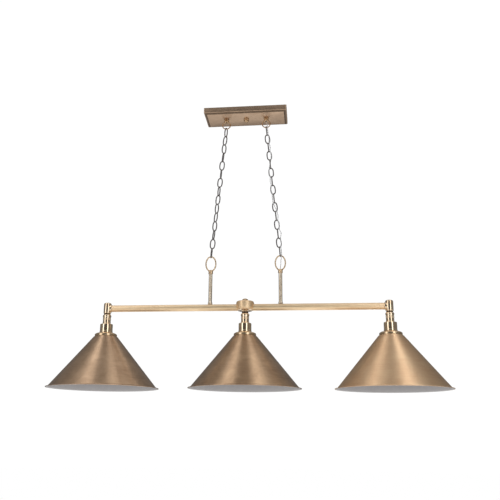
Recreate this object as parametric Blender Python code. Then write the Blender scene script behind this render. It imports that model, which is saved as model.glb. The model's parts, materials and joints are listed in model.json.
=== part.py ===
"""Three-shade pool table lamp: ceiling canopy, two chains, brass bar and conical shades.

Metres, +Z up. The origin is the middle of the face that lies against the ceiling,
the bar runs along X, and the lamp hangs below it.
"""
import math

import bmesh
import bpy
from mathutils import Matrix, Vector

MM = 0.001

# --- driving dimensions, millimetres ---------------------------------------------------
GAP = 0.3                 # air left between two pieces that touch
BAR_DROP = 540.0          # ceiling to the bar's axis
LIGHT_SPACING = 357.7     # middle light to an outer light
ROD_X = 89.8              # rods, each side of the middle
HOOK_X = 54.5             # canopy loops, each side of the middle

CANOPY_SIZE = (223.0, 88.0)
CANOPY_CORNER = 2.0
CANOPY_DEPTH = 17.0       # ceiling to the raised lower panel
CANOPY_LEDGE = 14.5       # ceiling to the ledge round the panel
CANOPY_BORDER = 5.5       # width of that ledge
SHEET = 1.3               # canopy sheet

BRACKET_SIZE = (150.0, 22.0, 2.0)
BRACKET_SLOT = (44.0, 18.0, 5.0)   # middle, length and width of each slot
STUD_R = 2.9

LOOP_COLLAR_END = 25.2    # ceiling to the lower end of a canopy loop's collar
LOOP_BOTTOM = 43.7        # ceiling to the middle of a canopy loop's wire at its lowest
LOOP_HALF_WIDTH = 10.9
LOOP_LEG_X = 3.9
LOOP_WIRE_R = 1.4
CABLE_BORE_R = 2.3

ROD_LOOP_TOP = 134.2      # bar's axis to the middle of a rod loop's wire at its top
ROD_LOOP_HALF_WIDTH = 13.3
ROD_LOOP_LEG_X = 4.4
ROD_LOOP_WIRE_R = 1.75
ROD_COLLAR = (88.5, 98.2, 6.2)     # its ends above the bar's axis, and its radius
ROD_R = 4.7
ROD_FOOT_R = 5.8
SPIGOT_R = 3.3
SPIGOT_HOLE_R = 3.7

LINK_COUNT = 15
LINK_WIRE_R = 1.6
LINK_HALF_WIDTH = 5.9     # middle of the link to the middle of its wire
LINK_GAP = 0.4
LEFT_TWISTS = (66, -32, 42, -66, 8, 90, 0, 74, -22, 56, -42, 44, -60, 14, 90)
RIGHT_TWISTS = (90, 0) * 7 + (90,)

BAR_R = 8.5
BAR_WALL = 1.5
NIPPLE_R = 6.0
NIPPLE_HOLE_R = 6.4

HUB_R = 22.6
HUB_TOP = 15.5            # above the bar's axis
HUB_SPLIT = -6.4          # where the body meets its lid
HUB_BOTTOM = -9.0
HUB_WALL = 2.2
NECK_R = 8.2
NECK_END = -15.5          # lower end of every neck above a lampholder
STEM_R = 4.8              # threaded stem that goes down into a lampholder
STEM_END = -22.0
STEM_BORE_R = 3.2
FINIAL_R = 7.5
FINIAL_TOP = 22.6

KNUCKLE_R = 9.75
KNUCKLE_TOP = 15.6
KNUCKLE_FOOT = -12.5
BOSS_R = 9.6
BOSS_REACH = 11.7         # knuckle's middle to the boss's face

HOLDER_TOP = -15.8
HOLDER_NECK_R = 10.2
HOLDER_R = 16.1
HOLDER_SHOULDER = -40.0
HOLDER_END = -62.2
HOLDER_WALL = 1.3

CAP_TOP = -62.5
CAP_R = 28.0
CAP_END = -72.3
CAP_HOLE_R = 14.3

SHADE_TOP = -72.6
SHADE_TOP_R = 29.6
SHADE_RIM_R = 140.0
SHADE_RIM = -200.9
SHADE_CONE_R = 133.8      # where the cone turns out into the lip
SHADE_CONE_END = -199.6
SHADE_SHEET = 1.2

SOCKET_NECK_R = 13.7
SOCKET_NECK_TOP = -50.0
SOCKET_FLANGE = (-74.1, -78.0, 22.0)
SOCKET_R = 19.0
SOCKET_END = -104.0
SOCKET_BORE_R = 14.0
SOCKET_FLOOR = -84.0

FLEX_R = 1.25
FLEX_TOP = 6.0            # ceiling to the flex's end inside the canopy
FLEX_END = 3.0            # bar's axis to the flex's end inside the bar, upwards

ROUND_LARGE = 32          # sides of the shades
ROUND_HUB = 24
ROUND_MEDIUM = 14
ROUND_SMALL = 12


# --- materials -------------------------------------------------------------------------
def make_material(name, colour, roughness, metallic):
    material = bpy.data.materials.new(name)
    material.use_nodes = True
    shader = material.node_tree.nodes["Principled BSDF"]
    shader.inputs["Base Color"].default_value = (*colour, 1.0)
    shader.inputs["Roughness"].default_value = roughness
    shader.inputs["Metallic"].default_value = metallic
    material.diffuse_color = (*colour, 1.0)
    return material


def make_materials():
    return {
        "brushed_brass": make_material("brushed_brass", (0.42, 0.29, 0.19), 0.38, 1.0),
        "satin_brass": make_material("satin_brass", (0.72, 0.50, 0.29), 0.30, 1.0),
        "polished_brass": make_material("polished_brass", (0.80, 0.60, 0.38), 0.14, 1.0),
        "dark_bronze": make_material("dark_bronze", (0.17, 0.15, 0.14), 0.42, 1.0),
        "zinc_steel": make_material("zinc_steel", (0.62, 0.63, 0.62), 0.40, 1.0),
        "white_insulator": make_material("white_insulator", (0.83, 0.82, 0.78), 0.35, 0.0),
        "clear_sheath": make_material("clear_sheath", (0.62, 0.62, 0.64), 0.25, 0.0),
    }


# --- shaping tools ---------------------------------------------------------------------
def new_object(name, mesh):
    made = bpy.data.objects.new(name, mesh)
    bpy.context.scene.collection.objects.link(made)
    return made


def finish_mesh(name, bm, smooth_angle=35.0):
    """Turns a bmesh in millimetres into a smooth-shaded object in metres."""
    bmesh.ops.remove_doubles(bm, verts=bm.verts, dist=1e-4)
    bmesh.ops.recalc_face_normals(bm, faces=bm.faces)
    bmesh.ops.scale(bm, vec=(MM, MM, MM), verts=bm.verts)
    mesh = bpy.data.meshes.new(name)
    bm.to_mesh(mesh)
    bm.free()
    mesh.shade_smooth()
    mesh.set_sharp_from_angle(angle=math.radians(smooth_angle))
    return new_object(name, mesh)


def turned(name, profile, sides, closed=True):
    """Spins (radius, height) points about Z. An open profile starts and ends on the axis."""
    bm = bmesh.new()
    verts = [bm.verts.new((radius, 0.0, height)) for radius, height in profile]
    pairs = list(zip(verts, verts[1:]))
    if closed:
        pairs.append((verts[-1], verts[0]))
    edges = [bm.edges.new(pair) for pair in pairs]
    bmesh.ops.spin(
        bm, geom=verts + edges, axis=(0, 0, 1), cent=(0, 0, 0),
        steps=sides, angle=2 * math.pi, use_merge=True,
    )
    return finish_mesh(name, bm)


def rod_shape(name, radius, low, high, sides=ROUND_SMALL):
    return turned(name, [(0, low), (radius, low), (radius, high), (0, high)], sides, False)


def wire(name, points, radius, sides_step, cyclic):
    """A round wire through the points, in millimetres, as a mesh object."""
    curve = bpy.data.curves.new(name, "CURVE")
    curve.dimensions = "3D"
    curve.bevel_depth = radius * MM
    curve.bevel_resolution = sides_step
    curve.use_fill_caps = not cyclic
    spline = curve.splines.new("POLY")
    spline.points.add(len(points) - 1)
    for slot, point in zip(spline.points, points):
        slot.co = (*(Vector(point) * MM), 1.0)
    spline.use_cyclic_u = cyclic
    guide = bpy.data.objects.new(name + "_path", curve)
    bpy.context.scene.collection.objects.link(guide)
    bpy.context.view_layer.update()
    evaluated = guide.evaluated_get(bpy.context.evaluated_depsgraph_get())
    mesh = bpy.data.meshes.new_from_object(evaluated)
    bpy.data.objects.remove(guide)
    mesh.name = name
    bm = bmesh.new()
    bm.from_mesh(mesh)
    bmesh.ops.remove_doubles(bm, verts=bm.verts, dist=1e-7)
    bmesh.ops.recalc_face_normals(bm, faces=bm.faces)
    bm.to_mesh(mesh)
    bm.free()
    mesh.shade_smooth()
    mesh.set_sharp_from_angle(angle=math.radians(60))
    return new_object(name, mesh)


def combine(base, tool, operation):
    """Joins or cuts base with tool, and removes the tool."""
    boolean = base.modifiers.new("shape", "BOOLEAN")
    boolean.operation = operation
    boolean.solver = "EXACT"
    boolean.object = tool
    bpy.context.view_layer.update()
    evaluated = base.evaluated_get(bpy.context.evaluated_depsgraph_get())
    mesh = bpy.data.meshes.new_from_object(evaluated)
    bm = bmesh.new()
    bm.from_mesh(mesh)
    bmesh.ops.remove_doubles(bm, verts=bm.verts, dist=0.005 * MM)
    bmesh.ops.dissolve_degenerate(bm, edges=bm.edges, dist=0.005 * MM)
    bm.to_mesh(mesh)
    bm.free()
    base.modifiers.clear()
    base.data = mesh
    bpy.data.objects.remove(tool)
    return base


def placed(made, x=0.0, y=0.0, z=0.0, turn=None):
    """Moves an object's mesh, in millimetres, after turning it."""
    matrix = Matrix.Translation(Vector((x, y, z)) * MM)
    if turn is not None:
        matrix = matrix @ turn
    made.data.transform(matrix)
    return made


def lying_along_x():
    return Matrix.Rotation(math.pi / 2, 4, "Y")


def finished(made, material, parent=None, pivot=(0.0, 0.0, 0.0)):
    """Gives the piece its material, and puts its origin at pivot under its parent."""
    made.data.materials.clear()
    made.data.materials.append(material)
    made.data.transform(Matrix.Translation(-Vector(pivot) * MM))
    made.location = Vector(pivot) * MM
    if parent is not None:
        made.parent = parent
        made.matrix_parent_inverse = parent.matrix_world.inverted()
    return made


def pivot_empty(name, place, parent=None):
    empty = bpy.data.objects.new(name, None)
    bpy.context.scene.collection.objects.link(empty)
    empty.location = Vector(place) * MM
    bpy.context.view_layer.update()
    if parent is not None:
        empty.parent = parent
        empty.matrix_parent_inverse = parent.matrix_world.inverted()
        bpy.context.view_layer.update()
    return empty


# --- canopy ----------------------------------------------------------------------------
def rounded_rectangle(half_x, half_y, corner, steps=3):
    points = []
    for quarter, (sx, sy) in enumerate(((1, 1), (-1, 1), (-1, -1), (1, -1))):
        for step in range(steps + 1):
            angle = math.pi / 2 * (quarter + step / steps)
            x = sx * (half_x - corner) + corner * math.cos(angle)
            y = sy * (half_y - corner) + corner * math.sin(angle)
            points.append((x, y))
    return points


def bridge(bm, ring, following):
    """Quads between two rings of as many vertices."""
    for index, (a, d) in enumerate(zip(ring, following)):
        bm.faces.new((a, ring[index - 1], following[index - 1], d))


def make_canopy_cover(material):
    """A pressed pan: side wall, narrow ledge and a panel that stands a little lower."""
    half_x, half_y = CANOPY_SIZE[0] / 2, CANOPY_SIZE[1] / 2
    outside = [
        (0.0, 0.0), (0.0, -CANOPY_LEDGE + 1.0), (0.9, -CANOPY_LEDGE),
        (CANOPY_BORDER, -CANOPY_LEDGE), (CANOPY_BORDER + 0.8, -CANOPY_DEPTH + 0.7),
        (CANOPY_BORDER + 1.6, -CANOPY_DEPTH),
    ]
    inside = [
        (CANOPY_BORDER + 1.9, -CANOPY_DEPTH + SHEET),
        (CANOPY_BORDER + 1.3, -CANOPY_LEDGE + SHEET), (SHEET, -CANOPY_LEDGE + SHEET),
        (SHEET, 0.0),
    ]
    bm = bmesh.new()
    rings = []
    for inset, height in outside + inside:
        corner = max(CANOPY_CORNER - 0.2 * inset, 0.8)
        outline = rounded_rectangle(half_x - inset, half_y - inset, corner)
        ring = [bm.verts.new((x, y, height)) for x, y in outline]
        rings.append(ring)
    last_outside = len(outside) - 1
    for index, (ring, following) in enumerate(zip(rings, rings[1:] + rings[:1])):
        if index == last_outside:
            continue
        bridge(bm, ring, following)
    bm.faces.new(rings[last_outside])
    bm.faces.new(rings[last_outside + 1])
    cover = finish_mesh("canopy_cover", bm, 30)
    holes = ((0.0, STUD_R + GAP + 0.1), (-HOOK_X, 5.0), (HOOK_X, 5.0))
    for x, radius in holes:
        drill = rod_shape("drill", radius, -CANOPY_DEPTH - 3, -CANOPY_LEDGE + SHEET + 3)
        combine(cover, placed(drill, x=x), "DIFFERENCE")
    return finished(cover, material)


def box_shape(name, size, centre):
    bm = bmesh.new()
    bmesh.ops.create_cube(bm, size=1.0)
    bmesh.ops.scale(bm, vec=size, verts=bm.verts)
    bmesh.ops.translate(bm, vec=centre, verts=bm.verts)
    return finish_mesh(name, bm, 30)


def slot_shape(name, length, width, low, high):
    """A flat-sided slot with round ends, lying along X."""
    bm = bmesh.new()
    outline = []
    reach = length / 2 - width / 2
    for end, start in ((1, -90), (-1, 90)):
        for step in range(7):
            angle = math.radians(start + 30 * step)
            x = end * reach + width / 2 * math.cos(angle)
            outline.append((x, width / 2 * math.sin(angle)))
    lower = [bm.verts.new((x, y, low)) for x, y in outline]
    upper = [bm.verts.new((x, y, high)) for x, y in outline]
    bm.faces.new(lower)
    bm.faces.new(upper)
    bridge(bm, lower, upper)
    return finish_mesh(name, bm, 30)


def make_mounting_bracket(material):
    """A slotted strip that is screwed to the ceiling, with the canopy's stud welded to it."""
    length, width, thick = BRACKET_SIZE
    bracket = slot_shape("mounting_bracket", length, width, -thick, 0.0)
    middle, slot_length, slot_width = BRACKET_SLOT
    for side in (-1, 1):
        slot = slot_shape("slot", slot_length, slot_width, -thick - 1, 1.0)
        combine(bracket, placed(slot, x=side * middle), "DIFFERENCE")
    stud = rod_shape("stud", STUD_R, -CANOPY_DEPTH - 5.5, -thick / 2)
    combine(bracket, stud, "UNION")
    return finished(bracket, material)


def make_cap_nut(material):
    """Domed nut with a blind bore for the bracket's stud."""
    top = -CANOPY_DEPTH - GAP
    bore = STUD_R + GAP
    profile = [
        (0, top - 6.6), (bore, top - 5.9), (bore, top), (7.4, top), (7.4, top - 1.4),
        (6.6, top - 2.0), (6.9, top - 4.6), (5.6, top - 6.9), (3.0, top - 8.2), (0, top - 8.5),
    ]
    nut = turned("canopy_cap_nut", profile, ROUND_MEDIUM, False)
    return finished(nut, material)


def make_terminal_block(material):
    """Three-way block under the bracket, with a screw well over each way."""
    low, high = -12.4, -BRACKET_SIZE[2] - GAP
    middle_x = 26.0
    block = box_shape("terminal_block", (26, 14, high - low), (middle_x, 0, (low + high) / 2))
    for step in (-1, 0, 1):
        well = rod_shape("well", 2.2, low - 1, low + 6, 8)
        combine(block, placed(well, x=middle_x + 8 * step), "DIFFERENCE")
    return finished(block, material)


def ellipse_arc(half_width, half_height, centre_z, leg_x, bottom, steps=20):
    """Points of an upright ellipse in the XZ plane, open where it is leg_x from its axis."""
    gap_angle = math.asin(leg_x / half_width)
    points = []
    for step in range(steps + 1):
        angle = gap_angle + (2 * math.pi - 2 * gap_angle) * step / steps
        sign = 1 if bottom else -1
        x = half_width * math.sin(angle)
        z = centre_z + sign * half_height * math.cos(angle)
        points.append((x, 0.0, z))
    return points


def make_canopy_loop(side, material):
    """Hollow screwed collar with a bent wire loop, which the first link hangs in."""
    top = -CANOPY_DEPTH - GAP
    bore = CABLE_BORE_R
    profile = [
        (bore, -8.0), (4.4, -8.0), (4.4, top), (7.3, top), (7.3, top - 1.7), (5.2, top - 2.4),
        (5.6, top - 3.2), (6.7, top - 5.0), (6.5, top - 6.4), (5.0, -LOOP_COLLAR_END),
        (bore, -LOOP_COLLAR_END),
    ]
    name = "canopy_loop_right" if side > 0 else "canopy_loop_left"
    loop = turned(name, profile, ROUND_SMALL)
    rise = math.sqrt(1 - (LOOP_LEG_X / LOOP_HALF_WIDTH) ** 2)
    half_height = (LOOP_BOTTOM - LOOP_COLLAR_END + 1.4) / (1 + rise)
    arc = ellipse_arc(
        LOOP_HALF_WIDTH, half_height, -LOOP_BOTTOM + half_height, LOOP_LEG_X, True, 14)
    combine(loop, wire("loop_wire", arc, LOOP_WIRE_R, 1, False), "UNION")
    placed(loop, x=side * HOOK_X)
    return finished(loop, material)


# --- chains ----------------------------------------------------------------------------
def chain_ends(side):
    """Wire middles that a chain hangs between: canopy loop, then rod loop."""
    upper = Vector((side * HOOK_X, 0.0, -LOOP_BOTTOM))
    lower = Vector((side * ROD_X, 0.0, -BAR_DROP + ROD_LOOP_TOP))
    return upper, lower


def chain_step(side):
    """First contact point, direction down the chain, and distance from contact to contact."""
    upper, lower = chain_ends(side)
    down = (lower - upper).normalized()
    start = upper - down * (LOOP_WIRE_R + LINK_GAP / 2)
    reach = (lower - upper).length + LOOP_WIRE_R + ROD_LOOP_WIRE_R + LINK_GAP
    return start, down, reach / LINK_COUNT


def link_points(half_length):
    """The middle line of a link's wire: two half circles joined by straight sides."""
    reach = half_length - LINK_HALF_WIDTH
    points = []
    for end, start in ((1, 0), (-1, 180)):
        for step in range(5):
            angle = math.radians(start + 45 * step)
            x = LINK_HALF_WIDTH * math.cos(angle)
            points.append((x, 0.0, end * reach + LINK_HALF_WIDTH * math.sin(angle)))
    return points


def make_chain(side, twists, material, parents):
    start, down, step = chain_step(side)
    half_length = step / 2 + LINK_WIRE_R + LINK_GAP / 2
    lean = Vector((0, 0, -1)).rotation_difference(down).to_matrix().to_4x4()
    word = "right" if side > 0 else "left"
    for index, twist in enumerate(twists):
        link = wire(f"{word}_chain_link_{index + 1:02d}", link_points(half_length),
                    LINK_WIRE_R, 1, True)
        centre = start + down * step * (index + 0.5)
        turn = lean @ Matrix.Rotation(math.radians(twist), 4, "Z")
        placed(link, *centre, turn=turn)
        top = start + down * step * index
        parent = parents[0] if index == 0 else parents[1]
        if index == LINK_COUNT - 1:
            parent = parents[2]
        finished(link, material, parent, top)


# --- flex ------------------------------------------------------------------------------
# Offsets from the chain's middle line at each half link: outwards along the chain's own
# sideways direction, and along Y. The flex is wound in and out of the right chain.
FLEX_WEAVE = (
    (3.4, -3.4), (3.5, -3.4), (3.4, -3.4), (4.2, -3.5), (3.6, -3.4), (5.0, -2.4),
    (3.7, -3.4), (5.0, -3.6), (3.4, -3.4), (0.0, -1.6), (-3.4, -3.4), (-5.0, -3.6),
    (-3.7, -3.4), (-4.8, -2.4), (-3.5, -3.4), (-4.8, -3.6), (-3.5, -3.4), (-4.2, -2.6),
    (-3.5, -3.4), (0.0, -3.2), (3.5, -3.4), (5.6, -1.8), (3.9, -3.4), (5.4, -3.7),
    (5.0, -3.4), (8.6, -1.6), (6.0, -3.4), (5.8, -3.9), (4.0, -3.6), (4.4, -2.8),
    (3.6, -3.7),
)


def smooth_through(points, count):
    """Evenly spaced points on a Catmull-Rom curve through the given points."""
    ends = [points[0] * 2 - points[1], *points, points[-1] * 2 - points[-2]]
    fine = []
    for a, b, c, d in zip(ends, ends[1:], ends[2:], ends[3:]):
        for step in range(12):
            t = step / 12
            fine.append(0.5 * (2 * b + (c - a) * t + (2 * a - 5 * b + 4 * c - d) * t * t
                               + (3 * b - a - 3 * c + d) * t ** 3))
    fine.append(points[-1])
    lengths = [0.0]
    for a, b in zip(fine, fine[1:]):
        lengths.append(lengths[-1] + (b - a).length)
    even, index = [], 0
    for step in range(count):
        target = lengths[-1] * step / (count - 1)
        while index < len(fine) - 2 and lengths[index + 1] < target:
            index += 1
        share = (target - lengths[index]) / (lengths[index + 1] - lengths[index])
        even.append(fine[index].lerp(fine[index + 1], share))
    return even


def flex_route():
    start, down, step = chain_step(1)
    sideways = Vector((-down.z, 0.0, down.x))
    route = [Vector((HOOK_X, 0, -FLEX_TOP)), Vector((HOOK_X, 0, -LOOP_COLLAR_END + 2)),
             Vector((HOOK_X + 1.5, -1.6, -LOOP_COLLAR_END - 6))]
    for index, (out, depth) in enumerate(FLEX_WEAVE):
        middle = start + down * step * index / 2
        route.append(middle + sideways * out + Vector((0, depth, 0)))
    collar_low, collar_high, _ = ROD_COLLAR
    route.append(Vector((ROD_X + 2.0, -2.0, -BAR_DROP + ROD_LOOP_TOP - 12)))
    route.append(Vector((ROD_X + 0.9, -0.6, -BAR_DROP + collar_high + 10)))
    route.append(Vector((ROD_X, 0, -BAR_DROP + collar_high - 1)))
    route.append(Vector((ROD_X, 0, -BAR_DROP + collar_low - 10)))
    route.append(Vector((ROD_X, 0, -BAR_DROP + FLEX_END)))
    return route


def make_supply_flex(material, parent, pivot):
    points = smooth_through(flex_route(), 72)
    flex = wire("supply_flex", points, FLEX_R, 2, False)
    return finished(flex, material, parent, pivot)


# --- bar -------------------------------------------------------------------------------
def make_rod_loop(side, material, lamp):
    low, high, radius = ROD_COLLAR
    bore = CABLE_BORE_R
    profile = [
        (bore, high), (5.2, high), (radius, high - 1.2), (radius - 0.3, (high + low) / 2),
        (radius, low + 0.8), (radius - 0.4, low), (SPIGOT_HOLE_R, low),
        (SPIGOT_HOLE_R, low + 5.5), (bore, low + 5.5),
    ]
    name = "rod_loop_right" if side > 0 else "rod_loop_left"
    loop = turned(name, profile, ROUND_SMALL)
    rise = math.sqrt(1 - (ROD_LOOP_LEG_X / ROD_LOOP_HALF_WIDTH) ** 2)
    half_height = (ROD_LOOP_TOP - high + 1.2) / (1 + rise)
    arc = ellipse_arc(ROD_LOOP_HALF_WIDTH, half_height, ROD_LOOP_TOP - half_height,
                      ROD_LOOP_LEG_X, False, 16)
    combine(loop, wire("loop_wire", arc, ROD_LOOP_WIRE_R, 1, False), "UNION")
    placed(loop, x=side * ROD_X, z=-BAR_DROP)
    return finished(loop, material, lamp, lamp_pivot())


def make_rod(side, material, lamp):
    """Hollow rod with a spigot at each end and a small foot on the bar."""
    collar_low = ROD_COLLAR[0]
    foot = BAR_R + GAP
    bore = CABLE_BORE_R
    profile = [
        (bore, collar_low + 4.8), (SPIGOT_R, collar_low + 4.8), (SPIGOT_R, collar_low - GAP),
        (ROD_R, collar_low - GAP), (ROD_R, foot + 5.2), (ROD_FOOT_R, foot + 4.0),
        (ROD_FOOT_R, foot), (SPIGOT_R, foot), (SPIGOT_R, foot - 4.0), (bore, foot - 4.0),
    ]
    name = "rod_right" if side > 0 else "rod_left"
    rod = turned(name, profile, ROUND_SMALL)
    placed(rod, x=side * ROD_X, z=-BAR_DROP)
    return finished(rod, material, lamp, lamp_pivot())


def make_arm(side, material, lamp):
    """Bar tube from the hub to an end knuckle, with a nipple at each end."""
    inner_r = BAR_R - BAR_WALL
    nipple_bore = NIPPLE_R - BAR_WALL
    hub_end, knuckle_end = HUB_R - 2.0, LIGHT_SPACING - BOSS_REACH - GAP
    profile = [
        (nipple_bore, HUB_R - 8.0), (NIPPLE_R, HUB_R - 8.0), (NIPPLE_R, hub_end),
        (BAR_R, hub_end), (BAR_R, knuckle_end), (NIPPLE_R, knuckle_end),
        (NIPPLE_R, LIGHT_SPACING - 5.5), (nipple_bore, LIGHT_SPACING - 5.5),
        (nipple_bore, knuckle_end - 3.0), (inner_r, knuckle_end - 4.0),
        (inner_r, HUB_R + 6.0), (nipple_bore, HUB_R + 5.0),
    ]
    name = "arm_right" if side > 0 else "arm_left"
    arm = turned(name, profile, ROUND_MEDIUM)
    turn = Matrix.Rotation(side * math.pi / 2, 4, "Y")
    placed(arm, turn=turn)
    saddle = turned("saddle", [
        (NIPPLE_R + GAP + 0.2, -BAR_R - 2), (HUB_R + GAP, -BAR_R - 2),
        (HUB_R + GAP, BAR_R + 2), (NIPPLE_R + GAP + 0.2, BAR_R + 2)], ROUND_HUB)
    core = rod_shape("core", NIPPLE_R, 0.0, HUB_R + 3.0, ROUND_MEDIUM)
    placed(core, turn=turn)
    combine(saddle, core, "DIFFERENCE")
    combine(arm, saddle, "DIFFERENCE")
    drill = rod_shape("drill", SPIGOT_HOLE_R, 0.0, BAR_R + 3)
    combine(arm, placed(drill, x=side * ROD_X), "DIFFERENCE")
    placed(arm, z=-BAR_DROP)
    return finished(arm, material, lamp, lamp_pivot())


def make_hub_body(material, lamp):
    """Drum with a closed, rounded top. Both arms and the stud of the finial go into it."""
    inside_r = HUB_R - HUB_WALL
    hole = 3.0
    profile = [
        (hole, HUB_TOP), (HUB_R - 3.4, HUB_TOP), (HUB_R - 1.3, HUB_TOP - 0.9),
        (HUB_R, HUB_TOP - 3.0), (HUB_R, HUB_SPLIT), (inside_r, HUB_SPLIT),
        (inside_r, HUB_TOP - HUB_WALL), (hole, HUB_TOP - HUB_WALL),
    ]
    body = turned("hub_body", profile, ROUND_HUB)
    drill = rod_shape("drill", NIPPLE_HOLE_R, -HUB_R - 5, HUB_R + 5, ROUND_MEDIUM)
    combine(body, placed(drill, turn=lying_along_x()), "DIFFERENCE")
    notch = box_shape("notch", (2 * HUB_R + 8, 2 * NIPPLE_HOLE_R, NIPPLE_HOLE_R + 4),
                      (0, 0, -(NIPPLE_HOLE_R + 4) / 2))
    combine(body, notch, "DIFFERENCE")
    placed(body, z=-BAR_DROP)
    return finished(body, material, lamp, lamp_pivot())


def neck_profile():
    """Outside and bore of the neck and threaded stem above a lampholder, going down."""
    return [(NECK_R, NECK_END), (STEM_R, NECK_END), (STEM_R, STEM_END), (STEM_BORE_R, STEM_END)]


def make_hub_cover(material, lamp):
    """Lid under the hub, with the middle light's neck and stem."""
    lid = HUB_SPLIT - GAP
    profile = [
        (STEM_BORE_R, lid), (HUB_R, lid), (HUB_R, HUB_BOTTOM + 0.9),
        (HUB_R - 0.9, HUB_BOTTOM),
        (NECK_R, HUB_BOTTOM), *neck_profile(),
    ]
    cover = turned("hub_cover", profile, ROUND_HUB)
    placed(cover, z=-BAR_DROP)
    return finished(cover, material, lamp, lamp_pivot())


def make_finial(material, lamp):
    under = HUB_TOP + GAP
    profile = [
        (0, FINIAL_TOP), (3.6, FINIAL_TOP - 0.2), (6.2, FINIAL_TOP - 1.4),
        (FINIAL_R, FINIAL_TOP - 3.4), (FINIAL_R, under + 1.0), (FINIAL_R - 0.6, under),
        (2.6, under), (2.6, HUB_TOP - 7.0), (0, HUB_TOP - 7.0),
    ]
    finial = turned("hub_finial", profile, ROUND_MEDIUM, False)
    placed(finial, z=-BAR_DROP)
    return finished(finial, material, lamp, lamp_pivot())


def make_knuckle(side, material, lamp):
    """Upright end piece of the bar, with a side boss for the arm and a neck below."""
    inside_r = KNUCKLE_R - 2.6
    profile = [
        (0, KNUCKLE_TOP), (5.0, KNUCKLE_TOP - 0.3), (8.2, KNUCKLE_TOP - 1.5),
        (KNUCKLE_R, KNUCKLE_TOP - 3.2), (KNUCKLE_R, KNUCKLE_FOOT + 1.0),
        (KNUCKLE_R - 0.9, KNUCKLE_FOOT), (NECK_R, KNUCKLE_FOOT - 0.4), *neck_profile(),
        (STEM_BORE_R, KNUCKLE_FOOT + 1.5), (inside_r, KNUCKLE_FOOT + 2.5),
        (inside_r, KNUCKLE_TOP - 5.0), (0, KNUCKLE_TOP - 4.0),
    ]
    name = "knuckle_right" if side > 0 else "knuckle_left"
    knuckle = turned(name, profile, ROUND_MEDIUM, False)
    boss = turned("boss", [
        (NIPPLE_HOLE_R, inside_r - 0.5), (BOSS_R - 2.0, inside_r - 0.5), (BOSS_R, KNUCKLE_R - 2.5),
        (BOSS_R, BOSS_REACH - 0.8), (BOSS_R - 0.8, BOSS_REACH), (NIPPLE_HOLE_R, BOSS_REACH)],
        ROUND_MEDIUM)
    inward = Matrix.Rotation(-side * math.pi / 2, 4, "Y")
    combine(knuckle, placed(boss, turn=inward), "UNION")
    drill = rod_shape("drill", NIPPLE_HOLE_R, 2.0, BOSS_REACH + 2, ROUND_MEDIUM)
    combine(knuckle, placed(drill, turn=inward), "DIFFERENCE")
    placed(knuckle, x=side * LIGHT_SPACING, z=-BAR_DROP)
    return finished(knuckle, material, lamp, lamp_pivot())


# --- lights ----------------------------------------------------------------------------
def make_lampholder_cover(name, x, material, lamp):
    """Spun cover over the socket's wiring: bead, neck and body in one skin."""
    wall = HOLDER_WALL
    bore = STEM_R + GAP
    outside = [
        (bore, HOLDER_TOP), (8.8, HOLDER_TOP), (10.6, HOLDER_TOP - 2.0),
        (11.0, HOLDER_TOP - 3.8), (10.6, HOLDER_TOP - 5.6), (9.8, HOLDER_TOP - 8.2),
        (HOLDER_NECK_R, HOLDER_TOP - 8.8), (HOLDER_NECK_R, HOLDER_SHOULDER + 1.0),
        (11.2, HOLDER_SHOULDER), (HOLDER_R - 1.1, HOLDER_SHOULDER - 0.4),
        (HOLDER_R - 0.2, HOLDER_SHOULDER - 1.6), (HOLDER_R, HOLDER_END + 3.6),
        (HOLDER_R + 0.5, HOLDER_END + 1.0), (HOLDER_R + 0.4, HOLDER_END),
    ]
    inside = [
        (HOLDER_R - wall, HOLDER_END), (HOLDER_R - wall, HOLDER_SHOULDER - wall - 0.6),
        (HOLDER_NECK_R - wall, HOLDER_SHOULDER - wall - 0.6),
        (HOLDER_NECK_R - wall, HOLDER_TOP - wall), (bore, HOLDER_TOP - wall),
    ]
    cover = turned("lampholder_cover_" + name, outside + inside, ROUND_MEDIUM)
    placed(cover, x=x, z=-BAR_DROP)
    return finished(cover, material, lamp, lamp_pivot())


def make_shade_cap(name, x, material, lamp):
    wall = 1.4
    profile = [
        (CAP_HOLE_R, CAP_TOP), (19.0, CAP_TOP), (24.0, CAP_TOP - 0.8), (27.0, CAP_TOP - 2.0),
        (CAP_R, CAP_TOP - 3.2), (CAP_R, CAP_END + 0.6), (CAP_R - 0.5, CAP_END),
        (CAP_R - wall, CAP_END), (CAP_R - wall, CAP_TOP - 3.6), (24.0, CAP_TOP - 0.8 - wall),
        (CAP_HOLE_R, CAP_TOP - wall),
    ]
    cap = turned("shade_cap_" + name, profile, ROUND_MEDIUM)
    placed(cap, x=x, z=-BAR_DROP)
    return finished(cap, material, lamp, lamp_pivot())


def make_shade(name, x, material, lamp):
    """Cone of spun sheet, flat on top and turned out into a lip at the rim."""
    sheet = SHADE_SHEET
    slope = math.atan2(SHADE_CONE_R - SHADE_TOP_R, SHADE_TOP - SHADE_CONE_END)
    inward = sheet / math.cos(slope)
    profile = [
        (CAP_HOLE_R, SHADE_TOP), (SHADE_TOP_R - 0.7, SHADE_TOP),
        (SHADE_TOP_R, SHADE_TOP - 0.5), (SHADE_CONE_R, SHADE_CONE_END),
        (SHADE_RIM_R - 0.8, SHADE_RIM + 0.5), (SHADE_RIM_R, SHADE_RIM - 0.3),
        (SHADE_RIM_R - 0.6, SHADE_RIM - 1.1), (SHADE_CONE_R - 0.3, SHADE_CONE_END - sheet),
        (SHADE_TOP_R - 0.6, SHADE_TOP - inward), (CAP_HOLE_R, SHADE_TOP - sheet),
    ]
    shade = turned("shade_" + name, profile, ROUND_LARGE)
    placed(shade, x=x, z=-BAR_DROP)
    return finished(shade, material, lamp, lamp_pivot())


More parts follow.
